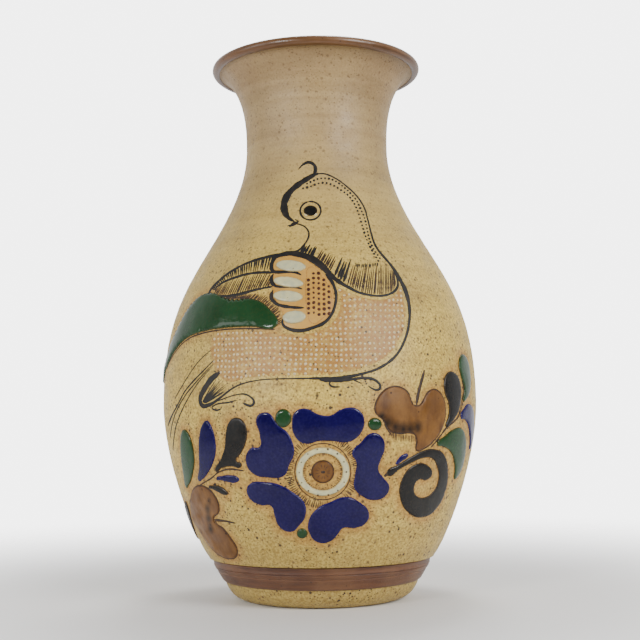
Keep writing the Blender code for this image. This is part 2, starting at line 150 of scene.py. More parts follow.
def outward(curve):
    """The outward direction (radius, height) at each point of a curve that runs upwards."""
    along = np.gradient(curve, axis=0)
    along /= np.linalg.norm(along, axis=1)[:, None]
    return np.stack([along[:, 1], -along[:, 0]], axis=1)


# --- Nodes ---------------------------------------------------------------------------------

def paint(colour):
    """An sRGB hex colour as linear RGBA."""
    channels = [int(colour[i:i + 2], 16) / 255 for i in (0, 2, 4)]
    linear = [c / 12.92 if c <= 0.04045 else ((c + 0.055) / 1.055) ** 2.4 for c in channels]
    return (*linear, 1)


def fill(tree, node, inputs):
    """Gives a node's inputs, by name or number, their values or links.

    A node given as a value stands for the first of its outputs that is in use.
    """
    for key, value in inputs.items():
        if isinstance(value, bpy.types.Node):
            value = next(socket for socket in value.outputs if socket.enabled)
        if isinstance(value, bpy.types.NodeSocket):
            tree.links.new(value, node.inputs[key])
        else:
            node.inputs[key].default_value = value


def add(tree, kind, inputs=(), **settings):
    """Adds a node with its settings, its values and its links."""
    new = tree.nodes.new(kind)
    for name, value in settings.items():
        setattr(new, name, value)
    fill(tree, new, dict(inputs))
    return new


# --- Objects and meshes --------------------------------------------------------------------

def placed(name, data):
    """A new object in the scene."""
    thing = bpy.data.objects.new(name, data)
    bpy.context.scene.collection.objects.link(thing)
    return thing


def mark(mesh, label, values):
    """Gives each of a mesh's points a number, which trees and materials read by its label."""
    mesh.attributes.new(label, "FLOAT", "POINT").data.foreach_set("value", values)


def mesh_of(name, points, edges=(), faces=()):
    """A new mesh."""
    mesh = bpy.data.meshes.new(name)
    mesh.from_pydata(points, edges, faces)
    return mesh


# --- Geometry Nodes ------------------------------------------------------------------------

def geometry_tree(name, sizes):
    """An empty Geometry Nodes tree with named inputs: {name: (socket type, value)}."""
    tree = bpy.data.node_groups.new(name, "GeometryNodeTree")
    tree.interface.new_socket("Geometry", in_out="INPUT", socket_type="NodeSocketGeometry")
    for label, (kind, value) in sizes.items():
        socket = tree.interface.new_socket(label, in_out="INPUT", socket_type="NodeSocket" + kind)
        if value is not None:
            socket.default_value = value
    tree.interface.new_socket("Material", in_out="INPUT", socket_type="NodeSocketMaterial")
    tree.interface.new_socket("Geometry", in_out="OUTPUT", socket_type="NodeSocketGeometry")
    return tree, add(tree, "NodeGroupInput").outputs


def finish_tree(tree, given, geometry):
    """Ends a tree in Realize Instances, smooth faces and Set Material."""
    whole = add(tree, "GeometryNodeRealizeInstances", {0: geometry})
    smooth = add(tree, "GeometryNodeSetShadeSmooth", {0: whole})
    painted = add(tree, "GeometryNodeSetMaterial", {0: smooth, "Material": given["Material"]})
    add(tree, "NodeGroupOutput", {0: painted})
    return tree


def run_tree(tree, source, material, sizes=()):
    """Runs a tree on an object, and returns the result as a plain mesh; the object goes."""
    modifier = source.modifiers.new("Shape", "NODES")
    modifier.node_group = tree
    identifiers = {item.name: item.identifier for item in tree.interface.items_tree
                   if item.in_out == "INPUT"}
    modifier[identifiers["Material"]] = material
    for name, value in dict(sizes).items():
        modifier[identifiers[name]] = value
    graph = bpy.context.evaluated_depsgraph_get()
    graph.update()
    mesh = bpy.data.meshes.new_from_object(source.evaluated_get(graph), depsgraph=graph)
    bpy.data.objects.remove(source)
    mesh.materials.clear()
    mesh.materials.append(material)
    mesh.polygons.foreach_set("material_index", [0] * len(mesh.polygons))
    return mesh


def turned_wall_tree():
    """A grid swept round the profile, drawn in by faint ridges where the profile asks."""
    tree, given = geometry_tree("turned_wall", {
        "Turns": ("Int", 240), "Ridge Depth": ("Float", 0.0003), "Ridge Spacing": ("Float", 0.004)})
    profile = given["Geometry"]
    count = add(tree, "GeometryNodeAttributeDomainSize", {0: profile}).outputs["Point Count"]
    columns = add(tree, "ShaderNodeMath", {0: given["Turns"], 1: 1.0}, operation="ADD")
    grid = add(tree, "GeometryNodeMeshGrid", {
        "Size X": 1.0, "Size Y": 1.0, "Vertices X": columns, "Vertices Y": count})
    place = add(tree, "GeometryNodeInputPosition")
    across = add(tree, "ShaderNodeSeparateXYZ", {0: place})
    share = add(tree, "ShaderNodeMath", {0: across.outputs["Y"], 1: 0.5}, operation="ADD")
    last = add(tree, "ShaderNodeMath", {0: count, 1: 1.0}, operation="SUBTRACT")
    along = add(tree, "ShaderNodeMath", {0: share, 1: last}, operation="MULTIPLY")
    row = add(tree, "ShaderNodeMath", {0: along}, operation="ROUND")
    point = add(tree, "GeometryNodeSampleIndex", {
        "Geometry": profile, "Value": place, "Index": row}, data_type="FLOAT_VECTOR")
    marks = [add(tree, "GeometryNodeInputNamedAttribute", {"Name": label}, data_type="FLOAT")
             for label in ("ridged", "inside")]
    ridged, inside = [add(tree, "GeometryNodeSampleIndex", {
        "Geometry": profile, "Value": held, "Index": row}, data_type="FLOAT") for held in marks]
    angle = add(tree, "ShaderNodeMath", {0: across.outputs["X"], 1: math.tau},
                operation="MULTIPLY")
    sine = add(tree, "ShaderNodeMath", {0: angle}, operation="SINE")
    cosine = add(tree, "ShaderNodeMath", {0: angle}, operation="COSINE")
    away = add(tree, "ShaderNodeMath", {0: cosine, 1: -1.0}, operation="MULTIPLY")
    section = add(tree, "ShaderNodeSeparateXYZ", {0: point})
    layer = add(tree, "ShaderNodeMath", {0: section.outputs["Z"], 1: given["Ridge Spacing"]},
                operation="DIVIDE")
    spot = add(tree, "ShaderNodeCombineXYZ", {"X": sine, "Y": away, "Z": layer})
    ripple = add(tree, "ShaderNodeTexNoise", {
        "Vector": spot, "Scale": 1.0, "Detail": 2.0, "Roughness": 0.5})
    depth = add(tree, "ShaderNodeMath", {0: ripple, 1: given["Ridge Depth"]},
                operation="MULTIPLY")
    cut = add(tree, "ShaderNodeMath", {0: depth, 1: ridged}, operation="MULTIPLY")
    radius = add(tree, "ShaderNodeMath", {0: section.outputs["X"], 1: cut}, operation="SUBTRACT")
    x = add(tree, "ShaderNodeMath", {0: radius, 1: sine}, operation="MULTIPLY")
    y = add(tree, "ShaderNodeMath", {0: radius, 1: away}, operation="MULTIPLY")
    turned = add(tree, "ShaderNodeCombineXYZ", {"X": x, "Y": y, "Z": section.outputs["Z"]})
    kept = add(tree, "GeometryNodeStoreNamedAttribute", {
        0: grid, "Name": "inside", "Value": inside},
        data_type="FLOAT", domain="POINT")
    swept = add(tree, "GeometryNodeSetPosition", {0: kept, "Position": turned})
    closed = add(tree, "GeometryNodeMergeByDistance", {0: swept, "Distance": 1e-6})
    faced = add(tree, "GeometryNodeFlipFaces", {0: closed})
    return finish_tree(tree, given, faced)


def drawn_curves(tree, given):
    """Smooth curves through the chains of points that come in, as wide as their half_width says."""
    chains = add(tree, "GeometryNodeMeshToCurve", {0: given["Geometry"]})
    half = add(tree, "GeometryNodeInputNamedAttribute", {"Name": "half_width"}, data_type="FLOAT")
    sized = add(tree, "GeometryNodeSetCurveRadius", {0: chains, "Radius": half})
    smooth = add(tree, "GeometryNodeCurveSplineType", {0: sized}, spline_type="CATMULL_ROM")
    return add(tree, "GeometryNodeSetSplineResolution", {0: smooth, "Resolution": 12})


def ribbon(tree, given, curves):
    """Turns curves into low closed strokes: as wide as the curve's radius, as high as asked."""
    place = add(tree, "GeometryNodeInputPosition")
    moved = add(tree, "ShaderNodeVectorMath", {0: place, 1: given["Grain"]}, operation="DIVIDE")
    waver = add(tree, "ShaderNodeTexNoise", {"Vector": moved, "Scale": 1.0, "Detail": 2.0})
    share = add(tree, "ShaderNodeMapRange", {
        "Value": waver, "From Min": 0.3, "From Max": 0.7, "To Min": -1.0, "To Max": 1.0})
    spread = add(tree, "ShaderNodeMath", {0: share, 1: given["Waver"], 2: 1.0},
                 operation="MULTIPLY_ADD")
    radius = add(tree, "GeometryNodeInputRadius")
    run = add(tree, "GeometryNodeSplineParameter").outputs["Length"]
    whole = add(tree, "GeometryNodeSplineLength").outputs["Length"]
    left = add(tree, "ShaderNodeMath", {0: whole, 1: run}, operation="SUBTRACT")
    nearest = add(tree, "ShaderNodeMath", {0: run, 1: left}, operation="MINIMUM")
    ending = add(tree, "ShaderNodeMath", {0: radius, 1: 2.5, 2: 0.0001}, operation="MULTIPLY_ADD")
    point = add(tree, "ShaderNodeMath", {0: nearest, 1: ending}, operation="DIVIDE")
    tip = add(tree, "ShaderNodeMapRange", {"Value": point, "To Min": 0.25})
    eased = add(tree, "ShaderNodeMath", {0: tip, 1: 0.6}, operation="POWER")
    shaped = add(tree, "ShaderNodeMath", {0: spread, 1: eased}, operation="MULTIPLY")
    width = add(tree, "ShaderNodeMath", {0: radius, 1: shaped}, operation="MULTIPLY")
    wide = add(tree, "GeometryNodeSetCurveRadius", {0: curves, "Radius": width})
    level = add(tree, "GeometryNodeSetCurveNormal", {0: wide}, mode="Z_UP")
    held = add(tree, "GeometryNodeCaptureAttribute", {0: level})
    held.capture_items.new("FLOAT", "Radius")
    fill(tree, held, {1: add(tree, "GeometryNodeInputRadius")})
    section = add(tree, "GeometryNodeCurvePrimitiveCircle", {"Resolution": 8, "Radius": 1.0})
    mesh = add(tree, "GeometryNodeCurveToMesh", {
        "Curve": held, "Profile Curve": section, "Scale": held.outputs[1],
        "Fill Caps": True})
    spot = add(tree, "ShaderNodeSeparateXYZ", {0: place})
    share_up = add(tree, "ShaderNodeMath", {0: spot.outputs["Z"], 1: held.outputs[1]},
                   operation="DIVIDE")
    most = add(tree, "ShaderNodeMath", {0: held.outputs[1], 1: 0.25}, operation="MULTIPLY")
    rise = add(tree, "ShaderNodeMath", {0: given["Height"], 1: most}, operation="MINIMUM")
    height = add(tree, "ShaderNodeMath", {0: share_up, 1: rise}, operation="MULTIPLY")
    lowered = add(tree, "ShaderNodeCombineXYZ", {
        "X": spot.outputs["X"], "Y": spot.outputs["Y"], "Z": height})
    return add(tree, "GeometryNodeSetPosition", {0: mesh, "Position": lowered})


RIBBON_SIZES = {"Height": ("Float", 0.00012), "Waver": ("Float", 0.16),
                "Grain": ("Float", 0.0035), "Step": ("Float", 0.0006)}


def brush_line_tree():
    """Brushed lines along curves whose radius is half the line's width."""
    tree, given = geometry_tree("brush_line", RIBBON_SIZES)
    even = add(tree, "GeometryNodeResampleCurve", {
        "Curve": drawn_curves(tree, given), "Length": given["Step"]}, mode="LENGTH")
    return finish_tree(tree, given, ribbon(tree, given, even))


def hatching_tree():
    """Short tapering strokes from the first curve towards the second."""
    tree, given = geometry_tree("hatching", {
        **RIBBON_SIZES, "Count": ("Int", 20), "Half Width": ("Float", 0.00025),
        "Unevenness": ("Float", 0.5), "Seed": ("Int", 1)})
    points = add(tree, "GeometryNodePoints", {"Count": given["Count"]})
    index = add(tree, "GeometryNodeInputIndex")
    shift = add(tree, "FunctionNodeRandomValue", {
        "Min": -0.5, "Max": 0.5, "Seed": given["Seed"]}, data_type="FLOAT")
    uneven = add(tree, "ShaderNodeMath", {0: shift, 1: given["Unevenness"], 2: 0.5},
                 operation="MULTIPLY_ADD")
    number = add(tree, "ShaderNodeMath", {0: index, 1: uneven}, operation="ADD")
    factor = add(tree, "ShaderNodeMath", {0: number, 1: given["Count"]}, operation="DIVIDE")
    guides = drawn_curves(tree, given)
    root, tip = [add(tree, "GeometryNodeSampleCurve", {
        "Curves": guides, "Factor": factor, "Curve Index": which},
        mode="FACTOR").outputs["Position"] for which in (0, 1)]
    span = add(tree, "ShaderNodeVectorMath", {0: tip, 1: root}, operation="SUBTRACT")
    other = add(tree, "ShaderNodeMath", {0: given["Seed"], 1: 7.0}, operation="ADD")
    reach = add(tree, "FunctionNodeRandomValue", {
        "Min": 0.78, "Max": 1.08, "Seed": other}, data_type="FLOAT")
    length = add(tree, "ShaderNodeVectorMath", {0: span}, operation="LENGTH")
    long = add(tree, "ShaderNodeMath", {0: length, 1: reach}, operation="MULTIPLY")
    scale = add(tree, "ShaderNodeCombineXYZ", {"X": long, "Y": 1.0, "Z": 1.0})
    turn = add(tree, "FunctionNodeAlignEulerToVector", {"Vector": span}, axis="X", pivot_axis="Z")
    rooted = add(tree, "GeometryNodeSetPosition", {0: points, "Position": root})
    line = add(tree, "GeometryNodeCurvePrimitiveLine", {"End": (1.0, 0.0, 0.0)})
    laid = add(tree, "GeometryNodeInstanceOnPoints", {
        "Points": rooted, "Instance": line, "Rotation": turn,
        "Scale": scale})
    real = add(tree, "GeometryNodeRealizeInstances", {0: laid})
    even = add(tree, "GeometryNodeResampleCurve", {"Curve": real, "Count": 6}, mode="COUNT")
    run = add(tree, "GeometryNodeSplineParameter").outputs["Factor"]
    taper = add(tree, "ShaderNodeMapRange", {"Value": run, "To Min": 1.15, "To Max": 0.45})
    half = add(tree, "ShaderNodeMath", {0: taper, 1: given["Half Width"]}, operation="MULTIPLY")
    thin = add(tree, "GeometryNodeSetCurveRadius", {0: even, "Radius": half})
    return finish_tree(tree, given, ribbon(tree, given, thin))


def touched_dots(tree, given, points):
    """A low round touch of slip on each point, each a little different."""
    dot = add(tree, "GeometryNodeMeshUVSphere", {"Segments": 8, "Rings": 4, "Radius": 1.0})
    size = add(tree, "FunctionNodeRandomValue", {
        "Min": 0.78, "Max": 1.2, "Seed": given["Seed"]}, data_type="FLOAT")
    wide = add(tree, "ShaderNodeMath", {0: size, 1: given["Dot Radius"]}, operation="MULTIPLY")
    other = add(tree, "ShaderNodeMath", {0: given["Seed"], 1: 5.0}, operation="ADD")
    stretch = add(tree, "FunctionNodeRandomValue", {
        "Min": 0.8, "Max": 1.15, "Seed": other}, data_type="FLOAT")
    long = add(tree, "ShaderNodeMath", {0: wide, 1: stretch}, operation="MULTIPLY")
    scale = add(tree, "ShaderNodeCombineXYZ", {"X": wide, "Y": long, "Z": given["Height"]})
    spin = add(tree, "FunctionNodeRandomValue", {
        "Min": (0.0, 0.0, 0.0), "Max": (0.0, 0.0, math.tau), "Seed": given["Seed"]},
        data_type="FLOAT_VECTOR")
    laid = add(tree, "GeometryNodeInstanceOnPoints", {
        "Points": points, "Instance": dot, "Rotation": spin,
        "Scale": scale})
    return finish_tree(tree, given, laid)


def dot_row_tree():
    """Dots at an even pitch along curves."""
    tree, given = geometry_tree("dot_row", {
        "Pitch": ("Float", 0.002), "Dot Radius": ("Float", 0.0005), "Height": ("Float", 0.00015),
        "Seed": ("Int", 1)})
    even = add(tree, "GeometryNodeResampleCurve", {
        "Curve": drawn_curves(tree, given), "Length": given["Pitch"]}, mode="LENGTH")
    points = add(tree, "GeometryNodeCurveToPoints", {"Curve": even}, mode="EVALUATED")
    return touched_dots(tree, given, points)


def dot_field_tree():
    """Rows of dots over a flat outline, kept a margin from its edge."""
    tree, given = geometry_tree("dot_field", {
        "Pitch": ("Float", 0.0024), "Dot Radius": ("Float", 0.0007), "Height": ("Float", 0.0003),
        "Margin": ("Float", 0.001), "Unevenness": ("Float", 0.0004), "Seed": ("Int", 1)})
    box = add(tree, "GeometryNodeBoundBox", {0: given["Geometry"]})
    size = add(tree, "ShaderNodeVectorMath", {0: box.outputs["Max"], 1: box.outputs["Min"]},
               operation="SUBTRACT")
    middle = add(tree, "ShaderNodeVectorMath", {0: box.outputs["Max"], 1: box.outputs["Min"]},
                 operation="ADD")
    halved = add(tree, "ShaderNodeVectorMath", {0: middle, "Scale": 0.5}, operation="SCALE")
    counts = add(tree, "ShaderNodeVectorMath", {0: size, 1: given["Pitch"]}, operation="DIVIDE")
    number = add(tree, "ShaderNodeSeparateXYZ", {0: counts})
    sides = add(tree, "ShaderNodeSeparateXYZ", {0: size})
    grid = add(tree, "GeometryNodeMeshGrid", {
        "Size X": sides.outputs["X"], "Size Y": sides.outputs["Y"],
        "Vertices X": number.outputs["X"], "Vertices Y": number.outputs["Y"]})
    put = add(tree, "GeometryNodeTransform", {0: grid, "Translation": halved})
    place = add(tree, "GeometryNodeInputPosition")
    bend = add(tree, "ShaderNodeTexNoise", {"Vector": place, "Scale": 30.0, "Detail": 1.0})
    bent = add(tree, "ShaderNodeVectorMath", {0: bend.outputs["Color"], 1: (0.5, 0.5, 0.5)},
               operation="SUBTRACT")
    swayed = add(tree, "ShaderNodeVectorMath", {0: bent, "Scale": 0.005}, operation="SCALE")
    low = add(tree, "ShaderNodeVectorMath", {0: (-1.0, -1.0, 0.0), 1: given["Unevenness"]},
              operation="MULTIPLY")
    high = add(tree, "ShaderNodeVectorMath", {0: (1.0, 1.0, 0.0), 1: given["Unevenness"]},
               operation="MULTIPLY")
    stray = add(tree, "FunctionNodeRandomValue", {
        "Min": low, "Max": high, "Seed": given["Seed"]},
        data_type="FLOAT_VECTOR")
    nudge = add(tree, "ShaderNodeVectorMath", {0: swayed, 1: stray}, operation="ADD")
    level = add(tree, "ShaderNodeVectorMath", {0: nudge, 1: (1.0, 1.0, 0.0)},
                operation="MULTIPLY")
    moved = add(tree, "GeometryNodeSetPosition", {0: put, "Offset": level})
    points = add(tree, "GeometryNodeMeshToPoints", {"Mesh": moved})
    above = add(tree, "ShaderNodeVectorMath", {0: place, 1: (0.0, 0.0, 1.0)}, operation="ADD")
    hit = add(tree, "GeometryNodeRaycast", {
        "Target Geometry": given["Geometry"], "Source Position": above,
        "Ray Direction": (0.0, 0.0, -1.0), "Ray Length": 2.0})
    edge = add(tree, "GeometryNodeProximity", {0: given["Geometry"]}, target_element="EDGES")
    clear = add(tree, "FunctionNodeCompare", {0: edge.outputs["Distance"], 1: given["Margin"]},
                operation="GREATER_THAN", data_type="FLOAT")
    kept = add(tree, "FunctionNodeBooleanMath", {
        0: hit.outputs["Is Hit"], 1: clear}, operation="AND")
    out = add(tree, "FunctionNodeBooleanMath", {0: kept}, operation="NOT")
    field = add(tree, "GeometryNodeDeleteGeometry", {0: points, "Selection": out}, domain="POINT")
    return touched_dots(tree, given, field)


# --- Turned pieces -------------------------------------------------------------------------

def lip_nose(lift, steps):
    """The rounded edge of the lip, from under it to its top, standing `lift` off the clay."""
    reach = LIP_WALL * 0.36
    centre = np.array([LIP_RADIUS - LIP_COAT - reach, HEIGHT - LIP_COAT - reach])
    angles = np.radians(np.linspace(-72, 90, steps))
    return centre + (reach + lift) * np.stack([np.cos(angles), np.sin(angles)], axis=1)


def inner_wall(steps):
    """The inside from under the lip down to the floor's edge."""
    outer = wall_curve(steps)
    wall = np.interp(outer[:, 1], [THROAT_HEIGHT, outer[-1, 1]], [WALL, LIP_WALL])
    return (outer - outward(outer) * wall[:, None])[::-1]


def band_edge(height, inset):
    """A point on the foot's bands, `inset` below their finished surface."""
    lean = [math.tan(math.radians(angle)) for angle in (14, 32)]
    above = min(UPPER_HIGH.z - height, UPPER_HIGH.z - UPPER_LOW.z)
    below = max(0, UPPER_LOW.z - height)
    return (UPPER_HIGH.x - above * lean[0] - below * lean[1] - inset, height)


def foot_outside(steps):
    """From the bottom of the bands down to the standing ring."""
    top = band_edge(LOWER_LOW.z - 0.0003, BAND_COAT)
    spread = top[0] - RING_OUTER
    pull_top = (top[0] - spread * 0.13, top[1] * 0.48)
    return bezier(top, pull_top, (RING_OUTER + spread * 0.62, 0), (RING_OUTER, 0), steps)


def straight(start, end, steps):
    """Points from start to end, without the last."""
    return np.array(start) + (np.array(end) - np.array(start)) * np.arange(steps)[:, None] / steps


def clay_profile():
    """The clay's section, from the middle of the inside, over the lip, to under the foot.

    Each row is radius, height, how much the throwing ridges show, and 1 where it is inside.
    """
    inner = inner_wall(18)
    edge = inner[-1]
    drop = edge[1] - FLOOR_TOP
    lean = np.array([math.sin(math.radians(40)), math.cos(math.radians(40))])
    floor = bezier(edge, edge - lean * drop, (edge[0] * 0.55, FLOOR_TOP), (0, FLOOR_TOP), 14)
    inside = np.vstack([inner[:-1], floor, [(0, FLOOR_TOP)]])[::-1]
    nose = lip_nose(0, 10)[::-1]
    outside = wall_curve(62)[::-1]
    top = UPPER_HIGH.z + 0.0003
    corner = band_edge(top, BAND_COAT)
    split = band_edge(UPPER_LOW.z, BAND_COAT)
    foot = np.vstack([
        straight((FOOT_RADIUS - 0.0004, top), corner, 2), straight(corner, split, 5),
        straight(split, band_edge(LOWER_LOW.z, BAND_COAT), 7)])
    under = np.vstack([
        straight((RING_OUTER, 0), (RING_INNER, 0), 4),
        straight((RING_INNER, 0), (RING_INNER - RECESS / 2, RECESS), 3),
        straight((RING_INNER - RECESS / 2, RECESS), (0, RECESS), 8), [(0, RECESS)]])
    parts = [(inside, 0.8, 1), (nose, 0, 0.3), (outside, 1, 0), (foot, 0, 0),
             (foot_outside(22), 0.4, 0), (under, 0, 0.6)]
    return np.vstack([np.column_stack([rows, np.tile(marks, (len(rows), 1))])
                      for rows, *marks in parts])


def ring_profile(rows):
    """A closed section as rows of radius, height, no ridges, outside."""
    rows = np.vstack([rows, rows[:1]])
    return np.column_stack([rows, np.zeros(len(rows)), np.zeros(len(rows))])


def lip_coat_profile():
    """Round the lip's edge: from just under it, over the nose, and down inside, then back."""
    flare, edge = wall_curve(60)[-1], lip_nose(0, 12)[0]
    under = flare + (edge - flare) * np.linspace(0.4, 0.9, 6)[:, None]
    normal = outward(under)
    inner = inner_wall(60)
    inward = outward(inner[::-1])[::-1]
    inside = inner[:, 1] > inner[0, 1] - 0.006

    def layer(lift):
        """The coat's face that stands `lift` off the clay, thinning out at both ends."""
        ease = np.sin(np.linspace(0.12, 1, len(under)) * math.pi / 2)[:, None]
        ease_in = np.sin(np.linspace(1, 0.12, inside.sum()) * math.pi / 2)[:, None]
        below = under + normal * (lift * ease)
        above = inner[inside] - inward[inside] * (lift * ease_in)
        return np.vstack([below, lip_nose(lift, 12), above[::3], above[-1:]])

    return ring_profile(np.vstack([layer(LIP_COAT)[::-1], layer(-0.0001)]))


def band_profile(top, bottom, waist, groove=0):
    """A slip band's section, a little hollow at its waist, with rounded edges and a groove."""
    count = 40
    heights = np.linspace(top, bottom, count)
    share = np.linspace(0, 1, count)
    edge = 1 - np.clip(np.minimum(share, 1 - share) / 0.12, 0, 1) ** 0.5
    inset = edge * BAND_COAT * 0.7 + waist * np.sin(share * math.pi) ** 2
    inset += groove * np.exp(-((share - 0.3) / 0.05) ** 2)
    outer = [band_edge(height, deep) for height, deep in zip(heights, inset)]
    back = [band_edge(height, BAND_COAT + 0.0001) for height in (bottom, top)]
    return ring_profile(np.array(outer + back))


def turned(name, profile, material, turns):
    """A piece turned about Z from a profile that runs down its outer side."""
    edges = [(i, i + 1) for i in range(len(profile) - 1)]
    mesh = mesh_of(name, [(row[0], 0, row[1]) for row in profile], edges)
    mark(mesh, "ridged", profile[:, 2])
    mark(mesh, "inside", profile[:, 3])
    return run_tree(TURNED, placed(name, mesh), material, {"Turns": turns})


# --- Laying flat work on the wall ----------------------------------------------------------

def wall_of(mesh):
    """What a ray needs to find the wall."""
    corners = [vertex.co.copy() for vertex in mesh.vertices]
    return BVHTree.FromPolygons(corners, [face.vertices[:] for face in mesh.polygons])


def lay(mesh, turn=0):
    """Bends a flat mesh, (across, up, lift) in metres, onto the wall, `turn` degrees round."""
    places = np.empty(len(mesh.vertices) * 3)
    mesh.vertices.foreach_get("co", places)
    across, up, lift = places.reshape(-1, 3).T
    step = 0.0005
    radius, above, below = [np.interp(up + d, WALL_FINE[:, 1], WALL_FINE[:, 0])
                            for d in (0, step, -step)]
    slope = (above - below) / (2 * step)
    angle = across / radius + math.radians(turn)
    tilt = np.hypot(1, slope)
    normal = np.stack([np.sin(angle) / tilt, -np.cos(angle) / tilt, -slope / tilt], axis=1)
    base = np.stack([radius * np.sin(angle), -radius * np.cos(angle), up], axis=1)
    start = base + normal * LIFT_SEARCH
    laid = np.empty_like(base)
    for number, (origin, direction) in enumerate(zip(start, normal)):
        hit = WALL_TREE.ray_cast(origin, -Vector(direction), 2 * LIFT_SEARCH)[0]
        laid[number] = hit if hit is not None else base[number]
    laid += normal * lift[:, None]
    mesh.vertices.foreach_set("co", laid.ravel())
    mesh.update()
    return mesh


def shown(name, mesh, slot, *nodes):
    """A finished mesh as a piece that rides on the body and may stand for CAD nodes."""
    mesh.name = name
    mesh.shade_smooth()
    piece = placed(name, mesh)
    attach(piece, "root")
    if nodes:
        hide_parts(*nodes)
    return piece


def joined(meshes):
    """Several meshes as one, each in its own material."""
    materials = list(dict.fromkeys(mesh.materials[0] for mesh in meshes))
    bm = bmesh.new()
    for mesh in meshes:
        first = len(bm.faces)
        bm.from_mesh(mesh)
        bm.faces.ensure_lookup_table()
        for face in bm.faces[first:]:
            face.material_index = materials.index(mesh.materials[0])
    whole = bpy.data.meshes.new("joined")
    for material in materials:
        whole.materials.append(material)
    bm.to_mesh(whole)
    bm.free()
    return whole


def chains(paths, width=0.8):
    """An object whose mesh is chains of points, each (across, up) or with its own width."""
    points, edges, halves = [], [], []
    for path in paths:
        first = len(points)
        points += [(point[0] * MM, point[1] * MM, 0) for point in path]
        halves += [(point[2] if len(point) > 2 else width) * MM / 2 for point in path]
        edges += [(i, i + 1) for i in range(first, len(points) - 1)]
    mesh = mesh_of("chains", points, edges)
    mark(mesh, "half_width", halves)
    return placed("chains", mesh)


def brushed(paths, material, width=0.8):
    """Brushed lines, still flat."""
    return run_tree(BRUSH_LINE, chains(paths, width), material)


def hatched(roots, tips, count, material, seed, half_width):
    """Short strokes from one drawn line towards another, still flat."""
    return run_tree(HATCHING, chains([roots, tips]), material,
                    {"Count": count, "Seed": seed, "Half Width": half_width})


def dotted(paths, material, seed, pitch, radius):
    """Rows of dots, still flat."""
    return run_tree(DOT_ROW, chains(paths), material,
                    {"Seed": seed, "Pitch": pitch, "Dot Radius": radius})


def dotted_field(points, material, seed, **sizes):
    """A field of dots in an outline, still flat."""
    rows = round_outline(points) * MM
    mesh = mesh_of("field", [(x, y, 0) for x, y in rows], faces=[range(len(rows))])
    return run_tree(DOT_FIELD, placed("field", mesh), material, {"Seed": seed, **sizes})


def raised(mesh, height):
    """Lifts a flat mesh, for marks that lie on a pad of glaze."""
    for vertex in mesh.vertices:
        vertex.co.z += height
    return mesh


# --- Pads of glaze -------------------------------------------------------------------------

def round_outline(points, steps=6):
    """A closed curve through the points, leaning at each one towards its neighbours."""
    knots = np.array(points, float)
    before = knots - np.roll(knots, 1, axis=0)
    after = np.roll(knots, -1, axis=0) - knots
    reach_before = np.linalg.norm(before, axis=1)[:, None]
    reach_after = np.linalg.norm(after, axis=1)[:, None]
    lean = after / reach_after + before / reach_before
    lean /= np.linalg.norm(lean, axis=1)[:, None] * CURVE_PULL
    ahead = knots + lean * reach_after
    behind = np.roll(knots - lean * reach_before, -1, axis=0)
    following = np.roll(knots, -1, axis=0)
    return np.vstack([bezier(*corners, steps) for corners in zip(knots, ahead, behind, following)])


def oval(across, up, half_width, half_height, count=10, turn=0):
    """Points round an oval."""
    angles = math.tau * np.arange(count) / count
    lean = math.radians(turn)
    x, y = half_width * np.cos(angles), half_height * np.sin(angles)
    return np.stack([across + x * math.cos(lean) - y * math.sin(lean),
                     up + x * math.sin(lean) + y * math.cos(lean)], axis=1)


def edge_distance(places, loops):
    """How far each place is from the nearest outline."""
    nearest = np.full(len(places), np.inf)
    for loop in loops:
        for start, end in zip(loop, np.roll(loop, -1, axis=0)):
            along = end - start
            share = np.clip((places - start) @ along / (along @ along), 0, 1)
            away = np.linalg.norm(places - start - share[:, None] * along, axis=1)
            nearest = np.minimum(nearest, away)
    return nearest


def is_inside(places, loops):
    """Whether each place is inside an odd number of outlines."""
    crossings = np.zeros(len(places), int)
    x, y = places.T
    for loop in loops:
        for (x0, y0), (x1, y1) in zip(loop, np.roll(loop, -1, axis=0)):
            if y0 == y1:
                continue
            between = (y0 > y) != (y1 > y)
            crossings += between & (x < x0 + (y - y0) * (x1 - x0) / (y1 - y0))
    return crossings % 2 == 1


def staggered_grid(loops, spacing, margin):
    """Points of a triangular grid inside the outlines, at least the margin from them."""
    low = np.min([loop.min(0) for loop in loops], axis=0)
    high = np.max([loop.max(0) for loop in loops], axis=0)
    rows = np.arange(low[1], high[1], spacing * 0.866)
    columns = np.arange(low[0], high[0], spacing)
    places = np.array([(x + (number % 2) * spacing / 2, y)
                       for number, y in enumerate(rows) for x in columns])
    places = places[is_inside(places, loops)]
    return places[edge_distance(places, loops) > margin]


def edge_rows(loops, depths):
    """Rows of points that follow the outlines inside, at each depth."""
    kept = []
    for depth in depths:
        for loop in loops:
            along = np.roll(loop, -1, axis=0) - loop
            side = np.stack([-along[:, 1], along[:, 0]], axis=1)
            side /= np.linalg.norm(side, axis=1)[:, None]
            middle = loop + along / 2
            for sign in (1, -1):
                places = middle + side * depth * sign
                places = places[is_inside(places, loops)]
                if len(places):
                    kept.append(places[edge_distance(places, loops) > depth * 0.96])
    return np.vstack(kept)


def sheet_over(loops, extra):
    """Triangles that fill the outlines; the outlines' points come first, then the extra ones."""
    places = np.vstack([*loops, extra]) if len(extra) else np.vstack(loops)
    edges = []
    first = 0
    for loop in loops:
        edges += [(first + i, first + (i + 1) % len(loop)) for i in range(len(loop))]
        first += len(loop)
    points = [Vector(place) for place in places]
    _, _, faces, origins, _, _ = delaunay_2d_cdt(points, edges, [], 0, 1e-7)
    number = [origin[0] if origin else -1 for origin in origins]
    faces = np.array([[number[corner] for corner in face] for face in faces])
    middles = places[faces].mean(axis=1)
    return places, faces[is_inside(middles, loops) & (faces.min(axis=1) >= 0)]


